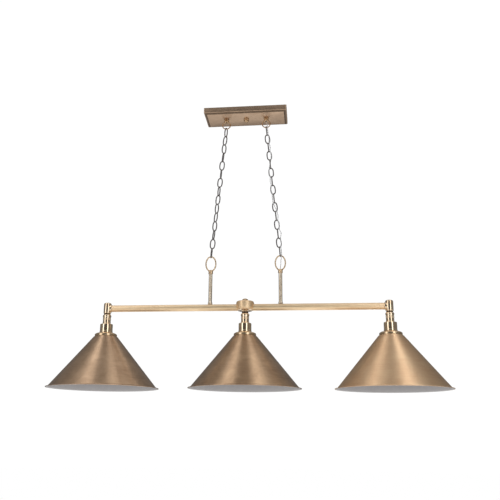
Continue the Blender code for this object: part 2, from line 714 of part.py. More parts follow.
def make_lamp_socket(name, x, material, lamp):
    """Insulated socket: threaded neck, flange that clamps the shade, and a barrel."""
    flange_top, flange_low, flange_r = SOCKET_FLANGE
    profile = [
        (SOCKET_NECK_R - 2.2, SOCKET_NECK_TOP), (SOCKET_NECK_R, SOCKET_NECK_TOP),
        (SOCKET_NECK_R, flange_top), (flange_r, flange_top), (flange_r, flange_low),
        (SOCKET_R, flange_low - 1.0), (SOCKET_R, SOCKET_END + 1.5),
        (SOCKET_R - 1.5, SOCKET_END), (SOCKET_BORE_R + 0.8, SOCKET_END),
        (SOCKET_BORE_R, SOCKET_END + 1.0), (SOCKET_BORE_R, SOCKET_FLOOR), (3.0, SOCKET_FLOOR),
        (3.0, SOCKET_FLOOR + 3.0), (SOCKET_NECK_R - 2.2, SOCKET_FLOOR + 3.0),
    ]
    socket = turned("lamp_socket_" + name, profile, ROUND_MEDIUM)
    placed(socket, x=x, z=-BAR_DROP)
    return finished(socket, material, lamp, lamp_pivot())


# --- assembly --------------------------------------------------------------------------
def lamp_pivot():
    """The tilt axis of the lamp: the middle of the right rod loop's wire at its top."""
    return chain_ends(1)[1]


def make_pivots():
    """Empties on the joints' axes: swing, sway, level and, for the lamp, tilt."""
    pivots = {}
    for side, word in ((1, "right"), (-1, "left")):
        upper, _ = chain_ends(side)
        start, down, step = chain_step(side)
        swing = pivot_empty(word + "_swing_axis", upper)
        sway = pivot_empty(word + "_sway_axis", start + down * step, swing)
        level_place = start + down * step * (LINK_COUNT - 1)
        level = pivot_empty(word + "_level_axis", level_place, sway)
        pivots[side] = (swing, sway, level)
    pivots["lamp"] = pivot_empty("lamp_tilt_axis", lamp_pivot(), pivots[1][2])
    return pivots


def main():
    for old in list(bpy.data.objects):
        bpy.data.objects.remove(old)
    materials = make_materials()
    brushed = materials["brushed_brass"]
    satin = materials["satin_brass"]
    polished = materials["polished_brass"]
    pivots = make_pivots()
    lamp = pivots["lamp"]

    make_canopy_cover(brushed)
    make_mounting_bracket(materials["zinc_steel"])
    make_cap_nut(polished)
    make_terminal_block(materials["white_insulator"])
    for side, twists in ((-1, LEFT_TWISTS), (1, RIGHT_TWISTS)):
        make_canopy_loop(side, polished)
        make_chain(side, twists, materials["dark_bronze"], pivots[side])
        make_rod_loop(side, polished, lamp)
        make_rod(side, satin, lamp)
        make_arm(side, satin, lamp)
        make_knuckle(side, polished, lamp)
    start, down, step = chain_step(1)
    make_supply_flex(materials["clear_sheath"], pivots[1][1], start + down * step)
    make_hub_body(satin, lamp)
    make_hub_cover(satin, lamp)
    make_finial(polished, lamp)
    for name, place in (("left", -1), ("middle", 0), ("right", 1)):
        x = place * LIGHT_SPACING
        make_lampholder_cover(name, x, polished, lamp)
        make_shade_cap(name, x, polished, lamp)
        make_shade(name, x, brushed, lamp)
        make_lamp_socket(name, x, materials["white_insulator"], lamp)


main()
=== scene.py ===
# %% [markdown]
# # A three-shade pool table lamp
#
# Long bar lights like this hang low over a pool table, so that three cones of light cover
# the cloth evenly. This one is brass: spun shades, a tube for a bar, and two chains up to
# a pressed canopy on the ceiling. The lesson dresses a packed, moving frame of the lamp.
# The main sizes are read from that frame, and each piece is made again with the curves,
# wall thickness and finish of the real one.

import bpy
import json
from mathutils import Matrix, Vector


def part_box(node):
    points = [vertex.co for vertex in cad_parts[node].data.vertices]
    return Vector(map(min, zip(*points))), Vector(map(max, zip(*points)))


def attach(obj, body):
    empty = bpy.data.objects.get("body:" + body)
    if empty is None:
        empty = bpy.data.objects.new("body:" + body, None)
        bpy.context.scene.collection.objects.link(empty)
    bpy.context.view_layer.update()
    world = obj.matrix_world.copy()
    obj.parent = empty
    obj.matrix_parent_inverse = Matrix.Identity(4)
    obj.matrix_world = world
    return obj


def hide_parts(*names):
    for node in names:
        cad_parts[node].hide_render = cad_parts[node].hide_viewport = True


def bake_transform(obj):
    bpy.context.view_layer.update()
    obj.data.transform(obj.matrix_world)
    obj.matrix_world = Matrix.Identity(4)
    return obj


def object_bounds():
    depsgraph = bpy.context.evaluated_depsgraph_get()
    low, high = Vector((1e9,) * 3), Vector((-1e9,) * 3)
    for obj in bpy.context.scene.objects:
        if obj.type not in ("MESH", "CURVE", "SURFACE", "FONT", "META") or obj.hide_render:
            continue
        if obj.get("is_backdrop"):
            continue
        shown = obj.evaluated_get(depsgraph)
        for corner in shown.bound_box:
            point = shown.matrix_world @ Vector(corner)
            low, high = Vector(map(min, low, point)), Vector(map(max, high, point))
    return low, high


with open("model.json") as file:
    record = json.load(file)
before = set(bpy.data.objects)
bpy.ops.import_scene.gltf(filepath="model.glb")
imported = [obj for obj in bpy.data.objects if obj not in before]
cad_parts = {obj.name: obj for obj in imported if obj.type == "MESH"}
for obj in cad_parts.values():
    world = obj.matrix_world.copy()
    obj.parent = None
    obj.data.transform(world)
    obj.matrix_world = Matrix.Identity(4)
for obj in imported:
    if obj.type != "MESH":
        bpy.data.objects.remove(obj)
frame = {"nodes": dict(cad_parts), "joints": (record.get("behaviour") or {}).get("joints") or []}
cad_low, cad_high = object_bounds()
print("frame", len(frame["nodes"]), "nodes, drop", round(cad_low.z, 3))

# %% Blender's own modules, and the workshop's unit
import json
import math

import bmesh
import bpy
from mathutils import Matrix, Vector

MM = 0.001
SIDES = ("left", "right")
LIGHTS = ("left", "middle", "right")


def middle_of(node):
    """Middle of a frame node's box, and half its size, both in metres."""
    low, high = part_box(node)
    return (low + high) / 2, (high - low) / 2


bar_middle, _ = middle_of("arm_right")
BAR_Z = bar_middle.z
print("bar axis", round(BAR_Z / MM, 1), "mm below the ceiling")

# %% [markdown]
# ## The camera
#
# A camera can be pointed with a Track To constraint, or with angles. Here the
# aim is written as three angles a photographer would use: yaw, pitch and roll. It stands
# a little below the shades and looks up at the canopy, so the picture shows the inside of
# each rim. The lens is a short normal one, and a small sideways shift frames the lamp.

# %% Camera
CAMERA_PLACE = Vector((0.1558, -1.6178, BAR_Z - 0.3044))
YAW, PITCH, ROLL = math.radians(-6.57), math.radians(15.64), math.radians(0.66)

forward = Vector((math.cos(PITCH) * math.sin(YAW), math.cos(PITCH) * math.cos(YAW),
                  math.sin(PITCH)))
level_right = Vector((math.cos(YAW), -math.sin(YAW), 0.0))
level_up = level_right.cross(forward)
right = level_right * math.cos(ROLL) + level_up * math.sin(ROLL)
up = right.cross(forward)
lens = bpy.data.cameras.new("camera")
lens.lens = 46.88
lens.sensor_width = 36.0
lens.shift_x = 0.0324
camera = bpy.data.objects.new("camera", lens)
bpy.context.scene.collection.objects.link(camera)
aim = Matrix((right, up, -forward)).transposed().to_4x4()
camera.matrix_world = Matrix.Translation(CAMERA_PLACE) @ aim
bpy.context.scene.camera = camera
print("camera at", [round(value, 3) for value in CAMERA_PLACE])

# %% [markdown]
# ## Writing shader nodes
#
# A material is a tree of nodes. Making each node takes several lines, so one helper makes
# a node, sets its options, and either links an input or gives it a plain value. It keeps
# the material cells short enough to read as recipes.


# %% Node helpers
def node(tree, kind, values=None, **options):
    """Adds a node. values maps an input's name or number to a value or to another socket."""
    made = tree.nodes.new(kind)
    for key, value in options.items():
        setattr(made, key, value)
    for key, value in (values or {}).items():
        if isinstance(value, bpy.types.NodeSocket):
            tree.links.new(value, made.inputs[key])
        else:
            made.inputs[key].default_value = value
    return made


def new_group(name, inputs, outputs):
    """An empty shader group with named sockets, and its entry and exit nodes."""
    group = bpy.data.node_groups.new(name, "ShaderNodeTree")
    for label, kind, value in inputs:
        socket = group.interface.new_socket(name=label, in_out="INPUT", socket_type=kind)
        socket.default_value = value
    for label, kind in outputs:
        group.interface.new_socket(name=label, in_out="OUTPUT", socket_type=kind)
    return group, group.nodes.new("NodeGroupInput"), group.nodes.new("NodeGroupOutput")


def use_group(tree, group, values):
    made = node(tree, "ShaderNodeGroup")
    made.node_tree = group
    for key, value in values.items():
        made.inputs[key].default_value = value
    return made


def remap(tree, value, old, new, smooth=False):
    """Maps a value from the old range to the new one, and clamps it."""
    made = node(tree, "ShaderNodeMapRange", {
        "Value": value, "From Min": old[0], "From Max": old[1],
        "To Min": new[0], "To Max": new[1]})
    if smooth:
        made.interpolation_type = "SMOOTHSTEP"
    return made.outputs["Result"]


def multiply(tree, a, b):
    return node(tree, "ShaderNodeMath", {0: a, 1: b}, operation="MULTIPLY").outputs[0]


def blend_colour(tree, amount, first, second):
    """Colour mix of two colours, or colour sockets, by a mask."""
    made = node(tree, "ShaderNodeMix", data_type="RGBA")
    for index, value in ((0, amount), (6, first), (7, second)):
        if isinstance(value, bpy.types.NodeSocket):
            tree.links.new(value, made.inputs[index])
        elif index == 0:
            made.inputs[index].default_value = value
        else:
            made.inputs[index].default_value = (*value, 1.0)
    return made.outputs[2]


print("node helpers ready")

# %% [markdown]
# ## The studio
#
# Brass has no colour of its own to show except what it reflects, so the studio matters
# more than the paint. Tall soft boxes stand in front to the left and right and give each
# polished piece two upright bands. Two long strips hang high over the sides, where the
# sloping cones find them, and draw the same bands there. The room behind the camera stays
# dim, which keeps the line between the bands dark. The floor is pale and bright, and
# lights the lamp from below.

# %% World
FLOOR_Z = -2.4
ROOM_DIM, ROOM_SIDE, ROOM_TOP = 0.10, 0.19, 0.44
FRONT = Vector((0.1, -1.0, 0.12)).normalized()

world = bpy.data.worlds.new("studio")
world.use_nodes = True
bpy.context.scene.world = world
tree = world.node_tree
tree.nodes.clear()
looking = node(tree, "ShaderNodeTexCoord").outputs["Generated"]
facing = node(tree, "ShaderNodeVectorMath", {0: looking, 1: FRONT}, operation="DOT_PRODUCT")
height = node(tree, "ShaderNodeSeparateXYZ", {0: looking}).outputs["Z"]
upper = remap(tree, height, (0.25, 0.95), (ROOM_SIDE, ROOM_TOP), True)
front_dim = remap(tree, facing.outputs["Value"], (0.62, 0.96), (1.0, ROOM_DIM / ROOM_SIDE),
                  True)
level = multiply(tree, upper, front_dim)
room = node(tree, "ShaderNodeBackground", {"Color": (1, 0.985, 0.97, 1), "Strength": level})
white = node(tree, "ShaderNodeBackground", {"Color": (1, 1, 1, 1), "Strength": 1.03})
seen = node(tree, "ShaderNodeLightPath").outputs["Is Camera Ray"]
both = node(tree, "ShaderNodeMixShader", {0: seen, 1: room.outputs[0], 2: white.outputs[0]})
node(tree, "ShaderNodeOutputWorld", {"Surface": both.outputs[0]})
bpy.context.scene.view_settings.view_transform = "Standard"
print("room level", ROOM_SIDE, "beside,", ROOM_TOP, "above and", ROOM_DIM, "in front")


# %% Soft boxes
def soft_box(name, azimuth, elevation, distance, width, height, radiance):
    """An area light that faces the lamp. Azimuth 0 is in front, 90 on the right."""
    data = bpy.data.lights.new(name, "AREA")
    data.shape = "RECTANGLE"
    data.size = width
    data.size_y = height
    data.energy = radiance * math.pi * width * height
    lamp = bpy.data.objects.new(name, data)
    bpy.context.scene.collection.objects.link(lamp)
    around, up = math.radians(azimuth), math.radians(elevation)
    out = Vector((math.sin(around) * math.cos(up), -math.cos(around) * math.cos(up),
                  math.sin(up)))
    lamp.location = out * distance + Vector((0, 0, BAR_Z))
    lamp.rotation_euler = (-out).to_track_quat("-Z", "Y").to_euler()
    lamp.visible_camera = False
    return lamp


soft_box("upright_left", -45, 14, 2.4, 0.76, 3.6, 1.9)
soft_box("upright_right", 35, 14, 2.4, 0.76, 3.6, 2.1)
soft_box("strip_left", -90, 71, 9.0, 13.0, 1.9, 0.88)
soft_box("strip_right", 90, 71, 9.0, 13.0, 1.9, 1.0)

# %% Floor
FLOOR_R = 30.0
FLOOR_SIDES = 96
bm = bmesh.new()
bmesh.ops.create_circle(bm, cap_ends=True, segments=FLOOR_SIDES, radius=FLOOR_R)
bmesh.ops.translate(bm, verts=bm.verts, vec=(0, 0, FLOOR_Z))
mesh = bpy.data.meshes.new("floor")
bm.to_mesh(mesh)
bm.free()
floor = bpy.data.objects.new("floor", mesh)
bpy.context.scene.collection.objects.link(floor)
pale = bpy.data.materials.new("pale_floor")
pale.use_nodes = True
tree = pale.node_tree
tree.nodes.clear()
place = node(tree, "ShaderNodeNewGeometry").outputs["Position"]
reach = node(tree, "ShaderNodeVectorMath", {0: place}, operation="LENGTH").outputs["Value"]
glow = remap(tree, reach, (1.8, 8.0), (1.15, 0.20), True)
bounce = node(tree, "ShaderNodeEmission", {"Color": (1, 0.99, 0.97, 1), "Strength": glow})
far = remap(tree, reach, (3.0, 9.0), (0.0, 1.0), True)
near = node(tree, "ShaderNodeEmission", {"Color": (0.93, 0.93, 0.93, 1), "Strength": 1.0})
haze = node(tree, "ShaderNodeEmission", {"Color": (1, 1, 1, 1), "Strength": 1.0})
shown = node(tree, "ShaderNodeMixShader", {0: far, 1: near.outputs[0], 2: haze.outputs[0]})
seen = node(tree, "ShaderNodeLightPath").outputs["Is Camera Ray"]
both = node(tree, "ShaderNodeMixShader", {0: seen, 1: bounce.outputs[0], 2: shown.outputs[0]})
node(tree, "ShaderNodeOutputMaterial", {"Surface": both.outputs[0]})
mesh.materials.append(pale)
floor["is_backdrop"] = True
print("floor", FLOOR_Z, "m")

# %% [markdown]
# ## Shared finishes as node groups
#
# Several brass pieces share the same effects: lines left by the brushing wheel, clouds in
# the antique stain, edges rubbed bright, hollows darkened as patina and painted shade, and
# a film of dust on top. Two more belong to one place each: a dark line in the canopy's
# fold, part stain and part painted shade, and painted shade that darkens the paint deeper
# inside each cone. Each effect is a node group with named sockets, built once. A material
# then places the group with its own values, so the lamp looks like one maker's work.

# %% Group: brushed lines
brushed_lines, entry, leave = new_group(
    "Brushed lines",
    [("Stretch", "NodeSocketVector", (20, 20, 2000)), ("Depth", "NodeSocketFloat", 1.0)],
    [("Lines", "NodeSocketFloat"), ("Height", "NodeSocketFloat")])
tree = brushed_lines
here = node(tree, "ShaderNodeTexCoord").outputs["Object"]
drawn = node(tree, "ShaderNodeVectorMath", {0: here, 1: entry.outputs["Stretch"]},
             operation="MULTIPLY").outputs["Vector"]
coarse = node(tree, "ShaderNodeTexNoise", {"Vector": drawn, "Scale": 0.13, "Detail": 5.0,
                                           "Roughness": 0.62})
fine = node(tree, "ShaderNodeTexNoise", {"Vector": drawn, "Scale": 1.7, "Detail": 3.0})
total = node(tree, "ShaderNodeMath", {0: coarse.outputs["Fac"], 1: fine.outputs["Fac"]},
             operation="ADD").outputs[0]
lines = remap(tree, total, (0.72, 1.28), (0.0, 1.0))
tree.links.new(lines, leave.inputs["Lines"])
tree.links.new(multiply(tree, lines, entry.outputs["Depth"]), leave.inputs["Height"])
print("group", brushed_lines.name)

# %% Group: stain clouds
stain_clouds, entry, leave = new_group(
    "Stain clouds",
    [("Scale", "NodeSocketFloat", 30.0), ("Low", "NodeSocketFloat", 0.35),
     ("High", "NodeSocketFloat", 0.7)],
    [("Mask", "NodeSocketFloat")])
tree = stain_clouds
here = node(tree, "ShaderNodeTexCoord").outputs["Object"]
cloud = node(tree, "ShaderNodeTexNoise", {"Vector": here, "Scale": entry.outputs["Scale"],
                                          "Detail": 5.0, "Roughness": 0.6, "Distortion": 0.4})
mask = node(tree, "ShaderNodeMapRange", {
    "Value": cloud.outputs["Fac"], "From Min": entry.outputs["Low"],
    "From Max": entry.outputs["High"]}).outputs["Result"]
tree.links.new(mask, leave.inputs["Mask"])
print("group", stain_clouds.name)

# %% Group: rubbed edges, and painted shade in hollows
rubbed_edges_and_hollow_shade, entry, leave = new_group(
    "Rubbed edges and hollow shade",
    [("Start", "NodeSocketFloat", 0.52), ("Full", "NodeSocketFloat", 0.62)],
    [("Edge", "NodeSocketFloat"), ("Hollow", "NodeSocketFloat")])
tree = rubbed_edges_and_hollow_shade
sharp = node(tree, "ShaderNodeNewGeometry").outputs["Pointiness"]
chips = node(tree, "ShaderNodeTexNoise", {"Scale": 900.0, "Detail": 3.0})
edge = node(tree, "ShaderNodeMapRange", {
    "Value": sharp, "From Min": entry.outputs["Start"],
    "From Max": entry.outputs["Full"]}).outputs["Result"]
broken = multiply(tree, edge, remap(tree, chips.outputs["Fac"], (0.3, 0.6), (0.45, 1.0)))
tree.links.new(broken, leave.inputs["Edge"])
# Hollow: low pointiness darkens hollows, part patina and part painted shade.
tree.links.new(remap(tree, sharp, (0.40, 0.49), (1.0, 0.0)), leave.inputs["Hollow"])
print("group", rubbed_edges_and_hollow_shade.name)

# %% Group: settled dust
settled_dust, entry, leave = new_group(
    "Settled dust",
    [("Amount", "NodeSocketFloat", 0.25), ("Scale", "NodeSocketFloat", 160.0)],
    [("Mask", "NodeSocketFloat")])
tree = settled_dust
normal = node(tree, "ShaderNodeNewGeometry").outputs["Normal"]
height = node(tree, "ShaderNodeSeparateXYZ", {0: normal}).outputs["Z"]
upward = remap(tree, height, (0.45, 1.0), (0.0, 1.0), True)
here = node(tree, "ShaderNodeTexCoord").outputs["Object"]
specks = node(tree, "ShaderNodeTexNoise", {"Vector": here, "Scale": entry.outputs["Scale"],
                                           "Detail": 6.0, "Roughness": 0.7})
patchy = remap(tree, specks.outputs["Fac"], (0.42, 0.66), (0.15, 1.0))
film = multiply(tree, multiply(tree, upward, patchy), entry.outputs["Amount"])
tree.links.new(film, leave.inputs["Mask"])
print("group", settled_dust.name)

# %% Group: stain and painted shade in a fold
fold_stain_and_shade, entry, leave = new_group(
    "Fold stain and shade", [("Half Size", "NodeSocketVector", (0.1, 0.04, 0.0))],
    [("Mask", "NodeSocketFloat")])
tree = fold_stain_and_shade
here = node(tree, "ShaderNodeTexCoord").outputs["Object"]
folded = node(tree, "ShaderNodeVectorMath", {0: here}, operation="ABSOLUTE").outputs["Vector"]
past = node(tree, "ShaderNodeVectorMath", {0: folded, 1: entry.outputs["Half Size"]},
            operation="SUBTRACT").outputs["Vector"]
sides_past = node(tree, "ShaderNodeSeparateXYZ", {0: past})
outside = node(tree, "ShaderNodeMath", {0: sides_past.outputs["X"], 1: sides_past.outputs["Y"]},
               operation="MAXIMUM").outputs[0]
# A dark band at the step between ledge and panel: part stain, part painted shade.
inner = remap(tree, outside, (-0.0022, -0.0009), (0.0, 0.85), True)
outer = remap(tree, outside, (0.0032, 0.0060), (1.0, 0.0), True)
tree.links.new(multiply(tree, inner, outer), leave.inputs["Mask"])
print("group", fold_stain_and_shade.name)

# %% Group: painted shade deeper inside the cones
painted_depth_shade, entry, leave = new_group(
    "Painted depth shade",
    [("Rim", "NodeSocketFloat", -0.128), ("Inside", "NodeSocketFloat", -0.106)],
    [("Mask", "NodeSocketFloat")])
tree = painted_depth_shade
# A mask that grows from the rim up into the cone, for painted shade on the lining.
here = node(tree, "ShaderNodeTexCoord").outputs["Object"]
height = node(tree, "ShaderNodeSeparateXYZ", {0: here}).outputs["Z"]
mask = node(tree, "ShaderNodeMapRange", {
    "Value": height, "From Min": entry.outputs["Rim"],
    "From Max": entry.outputs["Inside"]}).outputs["Result"]
tree.links.new(mask, leave.inputs["Mask"])
print("group", painted_depth_shade.name)

# %% [markdown]
# ## Brass, from brushed to polished
#
# One function makes every brass. Stained brass is bright metal under a brown film, so the
# colour runs between a deep and a bright tone along brush lines and clouds. Edges show the
# bright tone again. An anisotropic highlight spreads light across the brush lines, which
# is what paints the soft upright bands on a spun cone. Where the brushing runs round the
# piece, the highlight is turned by a quarter.

# %% Brass
DUST = (0.55, 0.52, 0.48)


def brass(name, deep, bright, roughness, stretch, anisotropic=0.0, turned=0.25,
          cloud=(28.0, 0.34, 0.72), line_share=0.45, relief=0.06, dust=0.12, edge=0.6,
          coat=0.0, fold=None):
    material = bpy.data.materials.new(name)
    material.use_nodes = True
    tree = material.node_tree
    shader = tree.nodes["Principled BSDF"]
    shader.inputs["Metallic"].default_value = 1.0
    shader.inputs["Anisotropic"].default_value = anisotropic
    shader.inputs["Anisotropic Rotation"].default_value = turned
    shader.inputs["Coat Weight"].default_value = coat
    shader.inputs["Coat Roughness"].default_value = 0.12
    lines = use_group(tree, brushed_lines, {"Stretch": stretch})
    clouds = use_group(tree, stain_clouds, {"Scale": cloud[0], "Low": cloud[1],
                                            "High": cloud[2]})
    edges = use_group(tree, rubbed_edges_and_hollow_shade, {})
    film = use_group(tree, settled_dust, {"Amount": dust})
    tone = blend_colour(tree, clouds.outputs["Mask"], deep, bright)
    streak = multiply(tree, lines.outputs["Lines"], line_share)
    tone = blend_colour(tree, streak, tone, bright)
    tone = blend_colour(tree, multiply(tree, edges.outputs["Edge"], edge), tone,
                        tuple(min(1.0, 1.12 * part) for part in bright))
    # Hollows turn towards a dark deep tone: part patina, part painted shade.
    tone = blend_colour(tree, multiply(tree, edges.outputs["Hollow"], 0.55), tone,
                        tuple(0.35 * part for part in deep))
    tone = blend_colour(tree, film.outputs["Mask"], tone, DUST)
    if fold:
        # The canopy's fold gets a dark line: painted shade at the step, with some stain.
        fold_shade_node = use_group(tree, fold_stain_and_shade, {"Half Size": fold})
        tone = blend_colour(tree, fold_shade_node.outputs["Mask"], tone,
                            tuple(0.30 * part for part in deep))
    tree.links.new(tone, shader.inputs["Base Color"])
    rough = remap(tree, lines.outputs["Lines"], (0.0, 1.0), (roughness * 1.2, roughness * 0.85))
    haze = node(tree, "ShaderNodeMath", {0: rough, 1: multiply(tree, film.outputs["Mask"], 0.5)},
                operation="ADD")
    tree.links.new(haze.outputs[0], shader.inputs["Roughness"])
    bump = node(tree, "ShaderNodeBump", {"Strength": relief, "Distance": 0.0002,
                                         "Height": lines.outputs["Height"]})
    tree.links.new(bump.outputs["Normal"], shader.inputs["Normal"])
    return material


ROUND_LINES = (14.0, 14.0, 2600.0)
# The right shade has a lighter, yellower tone and a rougher finish than the others.
SHADE_TONES = {
    "left": ((0.40, 0.265, 0.17), (0.62, 0.43, 0.28)),
    "middle": ((0.39, 0.25, 0.155), (0.61, 0.42, 0.26)),
    "right": ((0.82, 0.55, 0.335), (0.93, 0.69, 0.45)),
}
SHADE_ROUGHNESS = {"left": 0.33, "middle": 0.33, "right": 0.54}
finishes = {}
for light, (deep, bright) in SHADE_TONES.items():
    finishes["shade_" + light] = brass(
        "brushed_shade_" + light, deep, bright, SHADE_ROUGHNESS[light], ROUND_LINES, 0.85,
        relief=0.10)
STEP_INSET = Vector((6.0, 6.0, 0.0)) * MM
canopy_half = middle_of("canopy_cover")[1]
finishes["canopy"] = brass("brushed_canopy", (0.46, 0.32, 0.22), (0.66, 0.48, 0.34), 0.34,
                           (9.0, 1500.0, 1500.0), relief=0.04, line_share=0.3,
                           fold=canopy_half - STEP_INSET)
finishes["satin_round"] = brass("satin_brass_round", (0.82, 0.58, 0.35), (1.0, 0.78, 0.52),
                                0.50, (30.0, 30.0, 1800.0), 0.2)
finishes["satin_long"] = brass("satin_brass_long", (0.86, 0.60, 0.37), (1.0, 0.78, 0.53),
                               0.46, (1500.0, 1500.0, 30.0), 0.25, 0.0, line_share=0.2,
                               relief=0.03)
finishes["pale_rod"] = brass("pale_brass_rod", (0.70, 0.58, 0.44), (0.90, 0.79, 0.64), 0.22,
                             (900.0, 900.0, 30.0), line_share=0.2, relief=0.02)
finishes["polished"] = brass("polished_brass", (0.78, 0.58, 0.38), (0.98, 0.82, 0.61), 0.09,
                             (40.0, 40.0, 900.0), relief=0.01, line_share=0.2, coat=0.3)
finishes["soft_polish"] = brass("soft_polished_brass", (0.62, 0.44, 0.27), (0.86, 0.66, 0.44),
                                0.26, (40.0, 40.0, 900.0), relief=0.02, line_share=0.3)
finishes["aged"] = brass("aged_brass", (0.36, 0.24, 0.14), (0.66, 0.46, 0.28), 0.16,
                         (60.0, 60.0, 900.0), cloud=(140.0, 0.36, 0.66), relief=0.03)
# Near-black brass, a painted shade for grooves under the hub and the knuckles.
finishes["painted_groove_shade"] = brass("brass_in_painted_groove_shade", (0.07, 0.045, 0.03), (0.16, 0.105, 0.065), 0.32,
                            (40.0, 40.0, 900.0), relief=0.02, edge=0.1)
finishes["gilt_wire"] = brass("brass_wire", (0.60, 0.51, 0.38), (0.80, 0.71, 0.56), 0.2,
                              (300.0, 300.0, 300.0), relief=0.03)
print("brass finishes", sorted(finishes))

# %% [markdown]
# ## The other materials
#
# The chain is steel wire darkened to match bronze. The bracket is zinc plated, which
# shows cool crystals. The sockets are white glazed porcelain, a dielectric with a clear
# coat. The shades have a matt white paint inside, to throw light down. It is drawn mid
# grey and darker up inside the cone, as painted shade. The flex has silver cores in a
# clear skin.


# %% Dark bronze, zinc, porcelain, paint and flex
def plain_material(name, colour, second, roughness, metallic, scale, relief, coat=0.0,
                   depth_shade=0.0):
    """Two tones in small clouds, with a fine relief. For all that isn't brass."""
    material = bpy.data.materials.new(name)
    material.use_nodes = True
    tree = material.node_tree
    shader = tree.nodes["Principled BSDF"]
    shader.inputs["Metallic"].default_value = metallic
    shader.inputs["Coat Weight"].default_value = coat
    shader.inputs["Coat Roughness"].default_value = 0.08
    clouds = use_group(tree, stain_clouds, {"Scale": scale})
    grain = use_group(tree, brushed_lines, {"Stretch": (scale * 9, scale * 9, scale * 9)})
    edges = use_group(tree, rubbed_edges_and_hollow_shade, {})
    film = use_group(tree, settled_dust, {"Amount": 0.15})
    tone = blend_colour(tree, clouds.outputs["Mask"], colour, second)
    tone = blend_colour(tree, multiply(tree, edges.outputs["Edge"], 0.5), tone,
                        tuple(min(1.0, 1.6 * part) for part in second))
    tone = blend_colour(tree, film.outputs["Mask"], tone, DUST)
    if depth_shade:
        # Painted shade: the lining darkens from the rim up into the cone.
        depth_shade_node = use_group(tree, painted_depth_shade, {})
        tone = blend_colour(tree, multiply(tree, depth_shade_node.outputs["Mask"], depth_shade), tone,
                            (0.045, 0.042, 0.045))
    tree.links.new(tone, shader.inputs["Base Color"])
    rough = remap(tree, grain.outputs["Lines"], (0, 1), (roughness * 0.8, roughness * 1.25))
    tree.links.new(rough, shader.inputs["Roughness"])
    bump = node(tree, "ShaderNodeBump", {"Strength": relief, "Distance": 0.0002,
                                         "Height": grain.outputs["Height"]})
    tree.links.new(bump.outputs["Normal"], shader.inputs["Normal"])
    return material


finishes["bronze"] = plain_material("dark_bronze", (0.13, 0.122, 0.122), (0.27, 0.252, 0.248),
                                    0.34, 1.0, 260.0, 0.08)
finishes["zinc"] = plain_material("zinc_plate", (0.52, 0.54, 0.55), (0.72, 0.73, 0.72),
                                  0.36, 1.0, 120.0, 0.06)
finishes["porcelain"] = plain_material("white_porcelain", (0.80, 0.79, 0.75),
                                       (0.86, 0.85, 0.82), 0.3, 0.0, 40.0, 0.02, 0.6)
finishes["nylon"] = plain_material("white_nylon", (0.78, 0.78, 0.75), (0.84, 0.84, 0.82),
                                   0.45, 0.0, 90.0, 0.05)
# The lining's white paint is drawn mid grey, a painted shade over the whole inside.
finishes["lining"] = plain_material("shade_paint", (0.37, 0.355, 0.36), (0.41, 0.395, 0.40),
                                    0.55, 0.0, 70.0, 0.10, depth_shade=0.35)
finishes["flex"] = plain_material("clear_flex", (0.60, 0.60, 0.62), (0.78, 0.78, 0.80),
                                  0.28, 0.35, 500.0, 0.05, 0.8)
print("finishes in all", len(finishes))

# %% [markdown]
# ## Turning on a lathe
#
# Most of the lamp is turned or spun. In Blender that is a profile turned about an axis,
# with a Screw modifier or by placing rings of vertices. The rings are placed one by one here,
# because each ring can then be as dense as its curve needs. A profile is a short list of
# corners in millimetres. A corner may carry a radius, and is then softened by a small
# curve, so that edges catch the light as real ones do.


# %% Profiles and turned pieces
def softened(corners, closed, steps=4):
    """Replaces each (radius, height, softening) corner by a short curve."""
    count = len(corners)
    outline = []
    for index, corner in enumerate(corners):
        here = Vector(corner[:2])
        soft = corner[2] if len(corner) > 2 else 0.0
        if soft == 0.0 or (not closed and index in (0, count - 1)):
            outline.append(here)
            continue
        before = Vector(corners[index - 1][:2]) - here
        after = Vector(corners[(index + 1) % count][:2]) - here
        start = here + before.normalized() * min(soft, 0.48 * before.length)
        end = here + after.normalized() * min(soft, 0.48 * after.length)
        for step in range(steps + 1):
            t = step / steps
            outline.append(start.lerp(here, t).lerp(here.lerp(end, t), t))
    return outline


def make_object(name, bm, finish, sharp=38.0):
    """Closes a bmesh that was drawn in millimetres into a smooth object in metres."""
    bmesh.ops.remove_doubles(bm, verts=bm.verts, dist=1e-4)
    bmesh.ops.recalc_face_normals(bm, faces=bm.faces)
    bmesh.ops.scale(bm, vec=(MM, MM, MM), verts=bm.verts)
    mesh = bpy.data.meshes.new(name)
    bm.to_mesh(mesh)
    bm.free()
    mesh.shade_smooth()
    mesh.set_sharp_from_angle(angle=math.radians(sharp))
    mesh.materials.append(finishes[finish])
    made = bpy.data.objects.new(name, mesh)
    bpy.context.scene.collection.objects.link(made)
    return made


def turned(name, corners, finish, closed=True, sides=64, steps=4):
    """Turns corners about Z. An open profile starts and ends on the axis."""
    outline = softened(corners, closed, steps)
    bm = bmesh.new()
    rings = []
    for radius, height in outline:
        if radius < 1e-6:
            rings.append([bm.verts.new((0.0, 0.0, height))] * sides)
            continue
        ring = []
        for side in range(sides):
            angle = 2 * math.pi * side / sides
            ring.append(bm.verts.new((radius * math.cos(angle), radius * math.sin(angle), height)))
        rings.append(ring)
    pairs = list(zip(rings, rings[1:]))
    if closed:
        pairs.append((rings[-1], rings[0]))
    for ring, following in pairs:
        for side in range(sides):
            quad = [ring[side - 1], ring[side], following[side], following[side - 1]]
            bm.faces.new(list(dict.fromkeys(quad)))
    return make_object(name, bm, finish)


def second_finish(piece, finish, low, high, radius):
    """Gives another finish to the faces between two heights and within a radius, in mm."""
    piece.data.materials.append(finishes[finish])
    for face in piece.data.polygons:
        centre = face.center / MM
        if low < centre.z < high and math.hypot(centre.x, centre.y) < radius:
            face.material_index = 1


